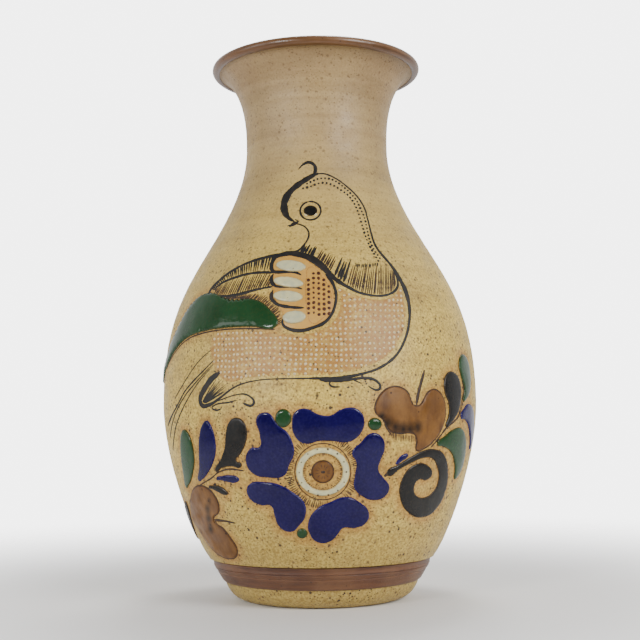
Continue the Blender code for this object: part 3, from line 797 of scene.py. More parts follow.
def glaze_pad(name, slot, outlines, height=GLAZE_HEIGHT, turn=0, edge=GLAZE_EDGE,
              nodes=None, pools=(), material=None):
    """A pad of glaze that has drawn itself up into a low dome with a rounded edge.

    It stands for the CAD node of its own name, unless other nodes, or none, are given. Each
    pool is (across, up, reach), where the glaze ran together. Its material is its slot's glaze.
    """
    loops = [round_outline(points) for points in outlines]
    rim = sum(len(loop) for loop in loops)
    depths = edge / MM * np.array([0.1, 0.3, 0.6, 1])
    extra = np.vstack([edge_rows(loops, depths),
                       staggered_grid(loops, FILL_SPACING, edge / MM + 0.6)])
    top, top_faces = sheet_over(loops, extra)
    base, base_faces = sheet_over(loops, staggered_grid(loops, BASE_SPACING, 1.5))
    depth = edge_distance(top, loops)
    depth[:rim] = 0
    rounded = np.sqrt(1 - (1 - np.clip(depth * MM / edge, 0, 1)) ** 2)
    crown = 0.86 + 0.14 * np.clip(depth / CROWN_REACH, 0, 1)
    waver = np.array([noise.noise((x * WAVER, y * WAVER, len(name))) for x, y in top])
    lift = rounded * (height * crown * (0.95 + 0.05 * waver) + SUNK) - SUNK
    corners = [(x * MM, y * MM, z) for (x, y), z in zip(top, lift)]
    corners += [(x * MM, y * MM, -SUNK * 1.6) for x, y in base[rim:]]
    shift = len(top) - rim
    under = [[c if c < rim else c + shift for c in face[::-1]] for face in base_faces.tolist()]
    mesh = mesh_of(name, corners, faces=top_faces.tolist() + under)
    mark(mesh, "depth", [*depth, *[0] * (len(corners) - len(top))])
    pooled = np.zeros(len(corners))
    for x, y, reach in pools:
        away = np.hypot(*(np.array(corners)[:, :2] / MM - (x, y)).T)
        pooled = np.maximum(pooled, 1 - away / reach)
    mark(mesh, "pool", pooled)
    mesh.materials.append(material or GLAZES[slot])
    lay(mesh, turn)
    HALO_PLACES.extend(mesh.vertices[number].co.copy() for number in range(rim))
    return shown(name + "_dome", mesh, slot, *(nodes if nodes is not None else (name,)))


# --- Materials -----------------------------------------------------------------------------

def ceramic(name, roughness, ior=1.5):
    """A new material: its tree and its shader."""
    material = bpy.data.materials.new(name)
    material.use_nodes = True
    tree = material.node_tree
    shader = tree.nodes["Principled BSDF"]
    fill(tree, shader, {"Roughness": roughness, "IOR": ior})
    return material, tree, shader


def grain(tree, size, detail=2.0, stretch=(1, 1, 1)):
    """Noise whose spots are about `size` metres across."""
    place = add(tree, "ShaderNodeTexCoord").outputs["Object"]
    scaled = add(tree, "ShaderNodeMapping", {0: place, "Scale": [s / size for s in stretch]})
    return add(tree, "ShaderNodeTexNoise", {"Vector": scaled, "Scale": 1.0, "Detail": detail})


def patches(tree, size, low, high, bottom=0.0, top=1.0, detail=2.0, stretch=(1, 1, 1)):
    """Noise turned to a share: bottom where it is below low, top where it is above high."""
    return add(tree, "ShaderNodeMapRange", {
        "Value": grain(tree, size, detail, stretch), "From Min": low, "From Max": high,
        "To Min": bottom, "To Max": top})


def by_height(tree, low, high, bottom=0.0, top=1.0, drift=0.0):
    """A share that goes from bottom to top between two heights above the table.

    Slow clouds move the change down by up to `drift` metres.
    """
    place = add(tree, "ShaderNodeTexCoord").outputs["Object"]
    up = add(tree, "ShaderNodeSeparateXYZ", {0: place}).outputs["Z"]
    moved = add(tree, "ShaderNodeMath", {0: grain(tree, 0.045, 3.0), 1: drift, 2: up},
                operation="MULTIPLY_ADD")
    return add(tree, "ShaderNodeMapRange", {
        "Value": moved, "From Min": low, "From Max": high, "To Min": bottom, "To Max": top})


def spots(tree, spacing, radius, share, strength=1.0):
    """Round specks: one in a cell `spacing` across, in this share of the cells."""
    place = add(tree, "ShaderNodeTexCoord").outputs["Object"]
    cells = add(tree, "ShaderNodeTexVoronoi", {
        "Vector": place, "Scale": 1 / spacing, "Randomness": 1.0})
    chance = add(tree, "ShaderNodeSeparateColor", {0: cells.outputs["Color"]})
    size = add(tree, "ShaderNodeMapRange", {
        "Value": chance.outputs[1], "To Min": radius * 0.45 / spacing,
        "To Max": radius / spacing})
    inner = add(tree, "ShaderNodeMath", {0: size, 1: 0.72}, operation="MULTIPLY")
    near = add(tree, "ShaderNodeMapRange", {
        "Value": cells.outputs["Distance"], "From Min": inner, "From Max": size,
        "To Min": strength, "To Max": 0.0})
    there = add(tree, "ShaderNodeMath", {0: chance.outputs[0], 1: share}, operation="LESS_THAN")
    return add(tree, "ShaderNodeMath", {0: near, 1: there}, operation="MULTIPLY")


def coats(tree, colour, *layers):
    """Lays colours over a first one, each (share, colour) or (share, colour, way to blend)."""
    for share, over, *blend in layers:
        both = [paint(each) if isinstance(each, str) else each for each in (colour, over)]
        colour = add(tree, "ShaderNodeMix", {"Factor": share, "A": both[0], "B": both[1]},
                     data_type="RGBA", blend_type=blend[0] if blend else "MIX")
    return colour


def bump(tree, shader, *layers):
    """Stacks bump layers, each (height, depth in metres)."""
    normal = {}
    for height, depth in layers:
        stacked = add(tree, "ShaderNodeBump", {
            "Height": height, "Distance": depth, "Strength": 1.0, **normal})
        normal = {"Normal": stacked}
    fill(tree, shader, normal)


def speckled_stoneware():
    """High-fired stoneware, burnished and bare: iron in the clay has bled into dark specks.

    It gives the eye a satin buff that runs from grey-brown at the neck to yellow at the
    belly, a sandy grain, faint throwing lines, and an orange flush round the glazes.
    """
    # Sand and specks are finer in such clay, and are drawn 1 to 3 mm apart so that they show
    material, tree, shader = ceramic("speckled_stoneware", 0.5)
    near_glaze = add(tree, "ShaderNodeAttribute", attribute_name="halo").outputs["Fac"]
    inside = add(tree, "ShaderNodeAttribute", attribute_name="inside").outputs["Fac"]
    uneven = patches(tree, 0.004, 0.3, 0.7, 0.51, 0.85)
    flush = add(tree, "ShaderNodeMath", {0: near_glaze, 1: uneven}, operation="MULTIPLY")
    sand = coats(tree, "B9AB98", (patches(tree, 0.0011, 0.36, 0.62, detail=3.0), "FFFFFF"))
    thrown = patches(tree, 0.0035, 0.35, 0.65, detail=4.0, stretch=(0.04, 0.04, 1))
    streaks = coats(tree, "E3DED6", (thrown, "FFFFFF"))
    iron = add(tree, "ShaderNodeMath", {
        0: spots(tree, 0.00145, 0.0005, 0.9), 1: spots(tree, 0.0029, 0.00085, 0.75)},
        operation="MAXIMUM")
    more = by_height(tree, 0.11, 0.2, 1.0, 0.4)
    specks = add(tree, "ShaderNodeMath", {0: iron, 1: more}, operation="MULTIPLY")
    shade = add(tree, "ShaderNodeMath", {0: specks, 1: patches(tree, 0.018, 0.36, 0.58, 0.5)},
                operation="MULTIPLY")
    stain = add(tree, "ShaderNodeMath", {0: spots(tree, 0.0029, 0.0013, 0.75, 0.3), 1: more},
                operation="MULTIPLY")
    colour = coats(
        tree, "B89F55",
        (by_height(tree, 0.03, 0.1, drift=0.05), "E0C25F"),
        (by_height(tree, 0.17, 0.265, drift=0.05), "B39767"),
        (by_height(tree, 0.285, 0.302, drift=0.05), "A88B62"),
        (patches(tree, 0.022, 0.48, 0.72, 0.0, 0.3, 4.0), "8B7450"),
        (flush, "B47C34"),
        (inside, "967A50"),
        (by_height(tree, 0.13, 0.21, 0.8, 0.25), sand, "MULTIPLY"),
        (0.6, streaks, "MULTIPLY"),
        (stain, "8A5F34"),
        (shade, "20160D"))
    fill(tree, shader, {
        "Base Color": colour, "Roughness": patches(tree, 0.008, 0.3, 0.7, 0.44, 0.6)})
    bump(tree, shader,
         (grain(tree, 0.0011, 3.0), 0.00012),
         (grain(tree, 0.002, 2.0, (0.06, 0.06, 1)), 0.00012),
         (spots(tree, 0.0029, 0.00085, 0.75, -1.0), 0.00008))
    return material


def poured_glaze(name, deep, thin, roughness, clouded, ripple=0.00004):
    """Thick glossy glaze: level and glassy in the middle, paler and warmer where it thins.

    A slow ripple in its surface bends the reflections.
    """
    material, tree, shader = ceramic(name, roughness, GLAZE_IOR)
    depth = add(tree, "ShaderNodeAttribute", attribute_name="depth").outputs["Fac"]
    rim = add(tree, "ShaderNodeMapRange", {
        "Value": depth, "From Max": patches(tree, 0.0016, 0.3, 0.7, 0.35, 1.1)})
    body = coats(tree, deep,
                 (patches(tree, 0.014, 0.35, 0.68, detail=3.0), clouded),
                 (patches(tree, 0.0012, 0.4, 0.75, 0.0, 0.18, 3.0), thin))
    hazed = patches(tree, 0.006, 0.35, 0.7, roughness * 0.8, roughness * 1.5, 3.0)
    fill(tree, shader, {"Base Color": coats(tree, thin, (rim, body)), "Roughness": hazed})
    bump(tree, shader, (grain(tree, 0.009, 1.0), ripple * 6), (grain(tree, 0.0016), ripple))
    return material, tree, shader


def cobalt_glaze():
    """Glossy cobalt glaze: ink blue, a little violet where it pools, milky at the rim."""
    return poured_glaze("cobalt_glaze", "0B0139", "322C68", 0.12, "120744")[0]


def copper_green_glaze():
    """Glossy copper glaze: bottle green, brown-green where it breaks over the edge."""
    return poured_glaze("copper_green_glaze", "1A3B20", "4A4722", 0.12, "224629")[0]


def charcoal_glaze():
    """Satin manganese and iron glaze: soft black with a dry sheen."""
    return poured_glaze("charcoal_glaze", "0C0D0D", "4A3C2C", 0.3, "151616", 0.00003)[0]


def honey_glaze():
    """Iron honey glaze, thin and uneven: brushed brown with darker freckles and pools."""
    material, tree, shader = poured_glaze("honey_glaze", "664320", "43260F", 0.4, "805829")
    pool = add(tree, "ShaderNodeAttribute", attribute_name="pool").outputs["Fac"]
    deep = add(tree, "ShaderNodeMapRange", {"Value": pool, "From Min": 0.3, "From Max": 0.95})
    poured = shader.inputs["Base Color"].links[0].from_socket
    colour = coats(tree, poured,
                   (patches(tree, 0.004, 0.45, 0.7, 0.0, 0.55, 4.0, (1, 1, 0.35)), "43260F"),
                   (spots(tree, 0.0046, 0.0009, 0.6, 0.75), "22130A"),
                   (deep, "140D08"))
    fill(tree, shader, {"Base Color": colour})
    return material


def celadon_glaze():
    """White glaze over iron clay: pale grey-green and sugary, with pinholes that show brown."""
    material, tree, shader = poured_glaze("celadon_glaze", "D6CE98", "B89D60", 0.22, "BCBB96")
    poured = shader.inputs["Base Color"].links[0].from_socket
    colour = coats(tree, poured,
                   (patches(tree, 0.0022, 0.42, 0.66, 0.0, 0.5, 4.0), "A3A792"),
                   (spots(tree, 0.0026, 0.00042, 0.5, 0.8), "54473A"))
    fill(tree, shader, {"Base Color": colour})
    return material


def amber_glaze():
    """Thin amber slip under a clear coat: orange buff, cloudy."""
    return poured_glaze("amber_glaze", "BB8B40", "A0662A", 0.32, "C89C50", 0.00002)[0]


def rust_wash():
    """Thin iron wash: an orange-tan stain that the clay's grain shows through."""
    material, tree, shader = ceramic("rust_wash", 0.5)
    colour = coats(tree, "AA8440",
                   (patches(tree, 0.012, 0.38, 0.64, detail=3.0), "BF9D4F"),
                   (patches(tree, 0.0016, 0.42, 0.58, 0.0, 0.8, 3.0), "A06C2C"),
                   (spots(tree, 0.0027, 0.0007, 0.7, 0.9), "2E2014"))
    fill(tree, shader, {"Base Color": colour})
    bump(tree, shader, (grain(tree, 0.0009, 3.0), 0.00006))
    return material


def raised_dot_slip():
    """White slip trailed in beads: cream, satin, a little different bead by bead."""
    material, tree, shader = ceramic("raised_dot_slip", 0.28)
    colour = coats(tree, "DCCB9C",
                   (patches(tree, 0.003, 0.35, 0.65), "C6AE7C"),
                   (patches(tree, 0.0005, 0.5, 0.75, 0.0, 0.5), "F3EEDD"))
    fill(tree, shader, {"Base Color": colour})
    return material


def brushed_oxide(name, dark, pale, roughness):
    """Metal oxide brushed on bare clay: nearly black, and browner where the brush ran dry."""
    material, tree, shader = ceramic(name, roughness)
    dry = patches(tree, 0.0035, 0.48, 0.72, 0.0, 0.8, 4.0)
    fill(tree, shader, {"Base Color": coats(tree, dark, (dry, pale))})
    bump(tree, shader, (grain(tree, 0.0006), 0.00003))
    return material


def iron_slip(name, dark, pale, roughness):
    """Iron slip laid on while the pot turned: fine streaks run round it, worn in places."""
    material, tree, shader = ceramic(name, roughness)
    colour = coats(tree, dark,
                   (patches(tree, 0.0016, 0.35, 0.65, 0.0, 1.0, 3.0, (0.05, 0.05, 1)), pale),
                   (patches(tree, 0.016, 0.4, 0.68, 0.0, 0.6, 3.0), "735034"),
                   (spots(tree, 0.0028, 0.0005, 0.4, 0.8), "2F1F16"))
    fill(tree, shader, {"Base Color": colour})
    bump(tree, shader, (grain(tree, 0.0016, 3.0, (0.05, 0.05, 1)), 0.00014),
         (grain(tree, 0.001, 3.0), 0.0001))
    return material


# --- The drawing, in millimetres: across from the front, up from the table -------------------

PETALS = {
    "petal_top": [(-12.8, 91), (-11.5, 94.3), (-7, 96), (0, 93), (5, 92.7), (9, 95), (14, 96.2),
                  (18, 95), (20.5, 91), (19, 84.5), (13, 80.3), (6, 80.8), (0, 81), (-7, 79.8),
                  (-11.5, 83)],
    "petal_left": [(-30, 92), (-26.7, 94.4), (-23, 93.6), (-20.8, 90.6), (-18.4, 87.8),
                   (-15.2, 85.4), (-13, 81.5), (-12, 76), (-14.5, 70), (-17, 65.2), (-25, 64.4),
                   (-32, 66), (-36, 71.5), (-33.5, 78), (-28.5, 79), (-28.5, 84)],
    "petal_bottom_left": [(-36, 59), (-33.5, 62), (-27, 62.5), (-20, 61.5), (-13, 57.8),
                          (-7.5, 52.5), (-7.5, 46), (-10.3, 42), (-14, 39), (-20, 41.5),
                          (-22.3, 47.5), (-23.5, 51), (-29, 51.5), (-34.5, 54.5)],
    "petal_bottom_right": [(-6, 44), (-2, 50), (4, 53), (12, 55.3), (19, 52), (22.5, 48),
                           (21.5, 43), (16, 40.4), (10, 40.5), (7.5, 37.5), (4, 34.3),
                           (-1.5, 33.9), (-5.3, 37.5)],
    "petal_right": [(14.5, 75.5), (18.5, 80), (24, 84.4), (29, 82.6), (30.6, 77.5), (28.5, 72),
                    (27.3, 67.5), (30, 63.5), (33, 59.5), (31, 55), (25, 53.2), (19.3, 55.2),
                    (15.4, 59.5), (15.8, 65), (16.5, 71)],
}
FLOWER_CENTRE = (1, 67)
FLOWER_RING = [(12.4, 11.2), (9, 8.4)]      # half widths and half heights of its two edges
RING_LINES = (5.1, 12.9)                    # radii, here and below
RING_DOTS = 10.7
FRINGES = [(17.2, 13.5, 100, 11, 0.0003), (9.2, 7.6, 54, 12, 0.00024)]
BERRIES = {
    "berry_left": (-16.9, 91.6, 3.9, 4.3),
    "berry_right": (25.6, 88.4, 3.5, 2.9),
    "berry_bottom": (-9, 38.4, 2.6, 2.5),
}
FEATHERS = {
    "feather_1": (-13, 163.6, 7.4, 3, -8),
    "feather_2": (-14.2, 155.4, 7.4, 2.7, -10),
    "feather_3": (-14.4, 148.4, 7.3, 2.9, -6),
    "feather_4": (-11.4, 138.2, 5.6, 3.2, 3),
}
WING = [(-19, 135.5), (-22.5, 142), (-30, 147.5), (-45, 148.8), (-60, 153.5), (-75, 149.5),
        (-90, 137.5), (-105, 125), (-120, 112.5), (-105, 117.5), (-90, 125.5), (-75, 131.5),
        (-60, 133.8), (-45, 134.5), (-30, 134), (-22, 132.8)]
SHOULDER = [(-4, 163), (2, 158), (6, 150), (6, 143), (2, 137), (-3, 134.7), (-5.5, 140),
            (-6.2, 148), (-6, 156)]
HEART_RIGHT = [(46, 97.2), (43.5, 102.5), (39, 105.3), (33.5, 105.3), (29, 102.5), (26, 97.5),
               (26, 93.8), (29.5, 90.5), (33.5, 85), (40, 83.9), (46.5, 83.5), (48, 80),
               (47.8, 76), (52, 76.4), (60, 80.8), (64.5, 85.5), (67.3, 91), (67.5, 96),
               (66, 100.5), (62.5, 103.7), (58, 104.4), (54, 102), (50, 97.2)]
HEART_LEFT = [(-58.5, 44.3), (-54.5, 47), (-53.5, 51), (-56, 55.5), (-61, 59), (-66, 60),
              (-72, 59), (-77, 55.5), (-81, 50), (-84, 42), (-80, 39), (-73, 33), (-65, 27.5),
              (-57, 24.8), (-50, 24.3), (-45, 26), (-44, 30), (-47, 34.5), (-52, 39.5)]
RIGHT_POOLS = [(29, 92, 4), (32, 89, 6), (36, 86.8, 6), (40, 86, 6), (44, 86, 6), (48, 86.6, 6)]
LEFT_POOLS = [(-62, 39, 5), (-62.5, 44, 5), (-62, 49, 5), (-60, 53, 3)]
SIDE_POOLS = [(0, 52, 4), (0, 56, 3)]
LEAVES = {
    "leaf_black_right": ("charcoal_glaze", [
        (68, 86.5), (70, 92.5), (69.8, 98), (67.2, 102.5), (66.3, 107), (67.8, 111),
        (71.5, 113.3), (76, 113), (80, 110.5), (82, 106), (82, 101), (80, 95.5), (76.5, 91.5),
        (72, 88.3)]),
    "leaf_green_upper": ("green_glaze", [
        (84.5, 99), (85.8, 105), (82.8, 111), (81, 117), (83.5, 121.3), (88, 122.4),
        (93, 120), (96, 114), (96, 108), (92.5, 102.5), (88, 99.7)]),
    "leaf_blue_right": ("cobalt_glaze", [
        (81.5, 91.6), (86, 96), (92.5, 98), (99, 95.5), (103.5, 88), (103, 80), (99.3, 75),
        (97, 80), (93, 86), (88, 89.6)]),
    "leaf_green_lower": ("green_glaze", [
        (61.3, 78.6), (67, 82.3), (75, 85.7), (83, 86), (88.5, 82), (90.7, 75), (89, 67),
        (84, 62.2), (79.3, 61.2), (78.6, 66), (76, 71.5), (71, 75.5), (66, 77.2)]),
    "bud_blue_right": ("cobalt_glaze", [
        (36.3, 69.6), (37.8, 72.5), (40.3, 74.3), (43, 74.2), (42.6, 72.8), (39.5, 71)]),
    "leaf_black_left": ("charcoal_glaze", [
        (-54, 66.8), (-50, 73.5), (-47.6, 79), (-46.5, 86), (-44.5, 90.5), (-41, 92.3),
        (-37, 91), (-34.8, 86.5), (-35.5, 80.7), (-38.4, 75.5), (-41, 72.4), (-38.2, 71),
        (-38.6, 69.2), (-44, 69.5), (-50, 68.6)]),
    "leaf_blue_left": ("cobalt_glaze", [
        (-67.6, 62.2), (-66, 69), (-65.5, 76), (-64.2, 84), (-61.7, 89.3), (-58.5, 91.2),
        (-55.5, 88.5), (-53.2, 82), (-53.2, 76.5), (-55.7, 70.5), (-60, 65.8), (-64.2, 63)]),
    "leaf_green_left": ("green_glaze", [
        (-82, 58.3), (-83, 66), (-83, 74), (-82, 81), (-80, 85.7), (-77, 87.2), (-73, 85),
        (-70, 79), (-69.6, 72), (-71.8, 66.3), (-75.5, 61.7), (-79, 59.5)]),
    "bud_blue_left": ("cobalt_glaze", [
        (-54, 63.6), (-50, 65.1), (-45, 65.5), (-41.2, 64.9), (-39.9, 63.4), (-42, 61.9),
        (-46, 62), (-50, 62.7)]),
    "bud_black_left": ("charcoal_glaze", [
        (-60, 59.3), (-56.5, 60.5), (-52, 60.2), (-48.3, 58.6), (-46.8, 56.7), (-48.6, 55.8),
        (-53, 57), (-57, 58.4)]),
    "leaf_shadow_left": ("charcoal_glaze", [
        (-88, 51), (-86.5, 45), (-88, 38), (-93, 31.5), (-98, 31), (-99.5, 37), (-97, 45),
        (-92.5, 50)]),
}
SCROLL = [(31.8, 65.2, 2.2), (38, 68.4, 2.6), (46, 72, 3.2), (52.5, 74, 3.8), (59, 74, 5),
          (65, 70.5, 8), (68, 64, 8.6), (67, 57, 9.2), (62, 51.3, 9.8), (55, 48.6, 10),
          (47.5, 49.8, 9.6), (43, 55, 9), (43.8, 61.8, 8.4), (49, 65.8, 8), (55.5, 65, 7)]
HEART_STALKS = [
    [(47.8, 97, 1.5), (50, 105, 2), (53.5, 113.5, 1.3)],
    [(-58, 43.5, 1.6), (-50, 43.3, 1.1), (-43.5, 42.5, 0.7)],
]
STEMS = [
    [(-37, 67.5), (-45, 68.3), (-52, 66.8), (-58, 63.5), (-66, 60.5), (-75, 56), (-83, 50)],
    [(57, 77), (63, 81.5), (68, 86), (75, 89), (80, 93), (85, 103)],
    [(83, 112), (85.5, 105), (84, 98), (79, 91), (70, 87), (60, 79.4)],
    [(30.2, 64.3, 2), (31.2, 64.9, 2.2), (32.4, 65.5, 2.2)],
]
BACK_TURN = 180
BACK_PETALS = 5
BACK_CENTRE = (0, 78)
BACK_PETAL = [(-7, 12.5), (-9.8, 18.5), (-8.5, 25), (-3.2, 27.3), (0, 25.2), (3.2, 27.3),
              (8.5, 25), (9.8, 18.5), (7, 12.5), (0, 11.8)]
LEAF = [(0, 0), (6, 3.6), (13, 5.2), (19, 4.2), (22.5, 0.8), (19, -2.6), (13, -3.6), (6, -2.6)]
BACK_LEAVES = {
    "back_leaf_upper_left": ("green_glaze", (-30, 94), 132),
    "back_leaf_upper_right": ("charcoal_glaze", (30, 94), 48),
    "back_leaf_lower_left": ("charcoal_glaze", (-30, 62), 222),
    "back_leaf_lower_right": ("green_glaze", (30, 62), -42),
}
SIDE_TURNS = {"side_left": -117, "side_right": 117}
SIDE_HEART = [(0, -13), (6, -9), (12, -3), (14, 3), (12.5, 9), (8, 12), (3, 11.2), (0, 7.5),
              (-3, 11.2), (-8, 12), (-12.5, 9), (-14, 3), (-12, -3), (-6, -9)]
SIDE_HEART_UP = 62
SIDE_LEAVES = {
    "leaf_near": ("charcoal_glaze", (-9, 79), 120),
    "leaf_middle": ("cobalt_glaze", (0, 81), 86),
    "leaf_far": ("green_glaze", (9, 79), 52),
}

# The bird's line work: (across, up) with a width where the brush pressed or lifted
BACK_LINE = [(-1, 213, 0.6), (4, 213.2, 0.8), (10, 210.5, 0.8), (16, 206, 0.9), (21, 201, 1),
             (24.5, 195, 1), (26, 188, 1), (27.3, 181, 1.1), (28.5, 176, 1.2), (31, 171.5, 1.3),
             (35, 167, 1.5), (39, 162, 2), (43, 155, 2.6), (45, 150, 2.6), (46, 143, 2),
             (45, 135, 1.6), (42, 127, 1.4), (37, 120, 1.4), (30, 115, 1.3), (22, 112, 1.2),
             (10, 109.6, 1.8), (0, 109.5, 1.2), (-10, 109.6, 0.7), (-25, 109.5, 0.6),
             (-35, 108.3, 0.7), (-42, 106, 0.9), (-50, 101.5, 1.2), (-56, 98.5, 1.6),
             (-61, 98, 2.2), (-63, 100.5, 2.8), (-62, 103.5, 3.2), (-56, 110, 3.4), (-49, 114, 1.8)]
CREST = [(1, 213.4, 1.6), (-1.6, 212.6, 2.2), (-6, 210, 2.8), (-11, 206.6, 3.2), (-15, 202.4, 3.7),
         (-16.8, 197.6, 4), (-16.4, 193.4, 3.4), (-14.6, 189.8, 2.2), (-11, 187, 0.8)]
CREST_CURL = [(-9.4, 216, 0.4), (-7.4, 218.2, 1), (-4.4, 219.6, 1.6), (-1.6, 218.4, 1.9),
              (-0.7, 215.6, 1.9), (-1.6, 212.4, 2)]
BEAK = [(-14, 184.5, 0.9), (-11.7, 186, 2.4), (-9, 187.3, 0.8)]
BEAK_TICK = [(-11.2, 188.6, 0.6), (-9.5, 187.5, 0.8)]
THROAT = [(-15, 185, 0.6), (-11, 186, 0.8), (-8, 185.3, 0.8), (-5.5, 183.5, 0.8),
          (-4.2, 180.5, 0.9), (-5, 177, 0.9), (-7, 174, 1), (-9.5, 171.5, 1.2), (-14, 170, 1.6)]
EYE_CENTRE = (-3.4, 193)
COLLAR = [(-22, 168.5, 2), (-15, 170, 2.8), (-10, 169.5, 3.4), (-3, 167, 3.8), (2, 163, 3.4),
          (6, 158.5, 2.6), (10, 155, 2), (15, 152, 1.5), (20, 149.7, 1.3), (27, 148.5, 1.2),
          (33, 149, 1.2), (37.5, 151, 1.3), (40, 154, 1.4), (40, 158, 1.2), (38.5, 162, 1)]
WING_TOP = [(-15, 170, 2), (-25, 169, 1.6), (-35, 167, 1.4), (-45, 163.5, 1.4), (-52, 160, 1.6),
            (-58, 156, 1.8), (-61, 152.5, 1.4)]
WING_SECOND = [(-55, 153.5, 1), (-55, 155.5, 1.1), (-50, 158, 1.2), (-42, 159.8, 1.3),
               (-34, 161, 1.4), (-26, 161, 1.4), (-22, 160.5, 1.4)]
WING_LOWER = [(-60, 153.5, 1), (-56, 152, 1.3), (-52, 150.8, 1.4), (-45, 150.5, 1.3),
              (-38, 151, 1.8), (-30, 152.5, 1.3), (-22, 153.5, 1.1)]
WING_EDGE = [(-20.5, 132.7), (-30, 133.4), (-45, 133.9), (-60, 133.2), (-75, 130.9), (-90, 124.9),
             (-104, 117.6)]
# Hatching: from here, to here, how many strokes, in which oxide, seed, half a stroke's width
WING_HATCHING = [
    ([(-59, 155), (-52, 160), (-45, 163.5), (-35, 167), (-25, 169), (-20, 169.6)],
     [(-56, 154), (-50, 158), (-43.5, 159.8), (-34.5, 161), (-26, 161.2), (-22.5, 161)],
     30, "manganese", 31, 0.0005),
    ([(-57, 152.6), (-50, 151), (-40, 151), (-30, 152.6), (-24, 153.6)],
     [(-52, 157), (-44, 159.3), (-33, 161), (-24, 161.2), (-21.8, 158)],
     27, "iron", 32, 0.0004),
    ([(-50, 149), (-38, 148.2), (-30, 147.2), (-24, 143.2), (-20.6, 138), (-19, 134.6)],
     [(-47.6, 150.4), (-35, 150.6), (-26.6, 150), (-21.4, 145.6), (-18, 140.4), (-16.6, 136.2)],
     40, "iron", 33, 0.00038),
]
COLLAR_HATCHING = [
    ([(-9, 170.4), (-5, 169.4), (-2, 168)], [(-6.4, 175), (-2.8, 174), (0, 172.6)],
     6, "manganese", 34, 0.0007),
    ([(-1, 167.4), (2, 165), (6, 160.6)], [(1.6, 172), (5.4, 169.8), (9.4, 167.4)],
     9, "iron", 37, 0.00046),
    ([(7, 159.4), (9, 157.4), (13, 154.2)], [(10.4, 167.6), (12.8, 166.6), (16.6, 165.6)],
     4, "manganese", 38, 0.0008),
    ([(13.4, 153.6), (20, 150.4), (27, 149.2), (33, 149.8), (37, 151.6), (39, 155)],
     [(16.8, 165), (22.4, 164.4), (28, 165.2), (33, 166), (37, 164.4), (38.6, 161)],
     28, "iron", 35, 0.00038),
    ([(18, 164.6), (24, 164.6), (30, 165.6)], [(17.6, 162.4), (23.6, 162.2), (29.8, 163.4)],
     13, "manganese", 39, 0.00038),
]
HEART_FRINGE = [
    ([(30, 88.6), (34, 84.4), (40, 83.4), (47.6, 82.8)],
     [(31.4, 86), (35.6, 80.8), (41.4, 80), (47.4, 79.4)],
     24, "iron", 51, 0.00024),
]
TAIL_HATCHING = [
    ([(-61.4, 100), (-60.6, 99.6), (-59.6, 99.4), (-58.6, 99.4)],
     [(-51, 112.4), (-48.6, 110), (-46.2, 107.6), (-43.6, 104.8)],
     9, "manganese", 36, 0.00042),
]
FEATHER_LINES = [
    [(-20, 169, 1.8), (-22.5, 165, 2.6), (-21, 161, 2.2), (-12, 160.5, 2), (-7.5, 158.5, 1.2)],
    [(-21.5, 160, 1.4), (-22.5, 157, 2.2), (-20, 153.5, 1.8), (-12, 153, 1.6), (-7, 151.5, 1)],
    [(-21.5, 152, 1.2), (-22.5, 148, 1.9), (-19, 144.5, 2), (-13, 143, 2), (-6.5, 142.5, 1.2)],
    [(-17, 137.5, 0.8), (-16.6, 134.6, 1.4), (-13, 132.4, 1.8), (-8, 131.8, 1.9),
     (-3, 133, 1.8), (2.5, 135.3, 1.6), (6.2, 139.5, 1.4), (8, 145, 1.3), (8.2, 150, 1.4),
     (6.5, 155, 1.6), (3.5, 159, 1.8)],
]
TAIL_LINES = [
    [(-53, 120, 0.5), (-62, 114, 0.8), (-75, 106, 1), (-85, 98, 1.3), (-100, 89, 1.6)],
    [(-54, 117.6, 0.4), (-64, 111, 0.7), (-76, 103, 0.9), (-88, 93.5, 1.1), (-98, 83, 1.4)],
    [(-56, 115.5, 0.4), (-66, 108, 0.7), (-77, 98, 0.9), (-87, 88, 1.2), (-95, 77, 1.5)],
    [(-55, 125, 0.4), (-65, 119, 0.6), (-75, 111, 0.7), (-87, 102, 0.8)],
]
PERCH_LINES = [
    [(-62, 98, 1), (-50, 100.5, 0.7), (-42, 102.5, 0.6), (-36, 103, 0.8), (-32, 101, 1),
     (-31, 99, 1.2), (-33, 97.5, 1.3), (-37, 99, 0.9)],
    [(-55, 97.5, 0.6), (-51, 98.8, 0.8), (-45, 99.3, 0.8), (-40, 100.3, 0.5)],
    [(-49, 96.5, 0.5), (-52, 95.8, 0.9), (-55, 97, 0.7), (-52, 98.6, 0.5)],
    [(0, 109, 2.4), (8, 108.5, 1.8), (14, 108.8, 1.4), (20, 109.5, 1.2), (25, 109, 1.3),
     (28, 107, 1.4), (28.5, 104.8, 1.3), (26.5, 104, 1), (24, 105, 0.8), (22.5, 106, 0.6)],
    [(10, 108.5, 0.8), (6, 108.3, 0.8), (4.5, 107, 0.9), (6, 105.6, 0.9), (9.5, 105.5, 0.6)],
    [(15, 109, 0.8), (19.5, 107, 0.6)],
]
OUTER_HEAD_DOTS = [(-5, 208), (0, 210.3), (4, 210.8), (8, 210), (12, 207.5), (16, 204),
                   (20, 199.5), (22, 195), (24, 190), (25, 184), (26, 178), (28, 172.5),
                   (31, 168)]
INNER_HEAD_DOTS = [(-7, 205.5), (-3, 206.5), (0, 207.8), (4, 208.3), (8, 207), (12, 204.5),
                   (16, 201.5), (19, 197), (21, 191.5), (22.5, 185.5), (24, 179.5), (26, 174),
                   (30, 166.5)]
FEATHER_GROUND = [(-15, 169.4), (-21.6, 166.6), (-21.8, 161), (-22.2, 156), (-21.8, 150),
                  (-19.6, 144.6), (-17, 140), (-16.2, 134.8), (-12.4, 132.6), (-7.6, 132.2),
                  (-2, 133.6), (3, 136.4), (6.2, 141), (7.4, 147), (6.6, 153), (3, 159),
                  (-2, 164), (-8, 168.4)]
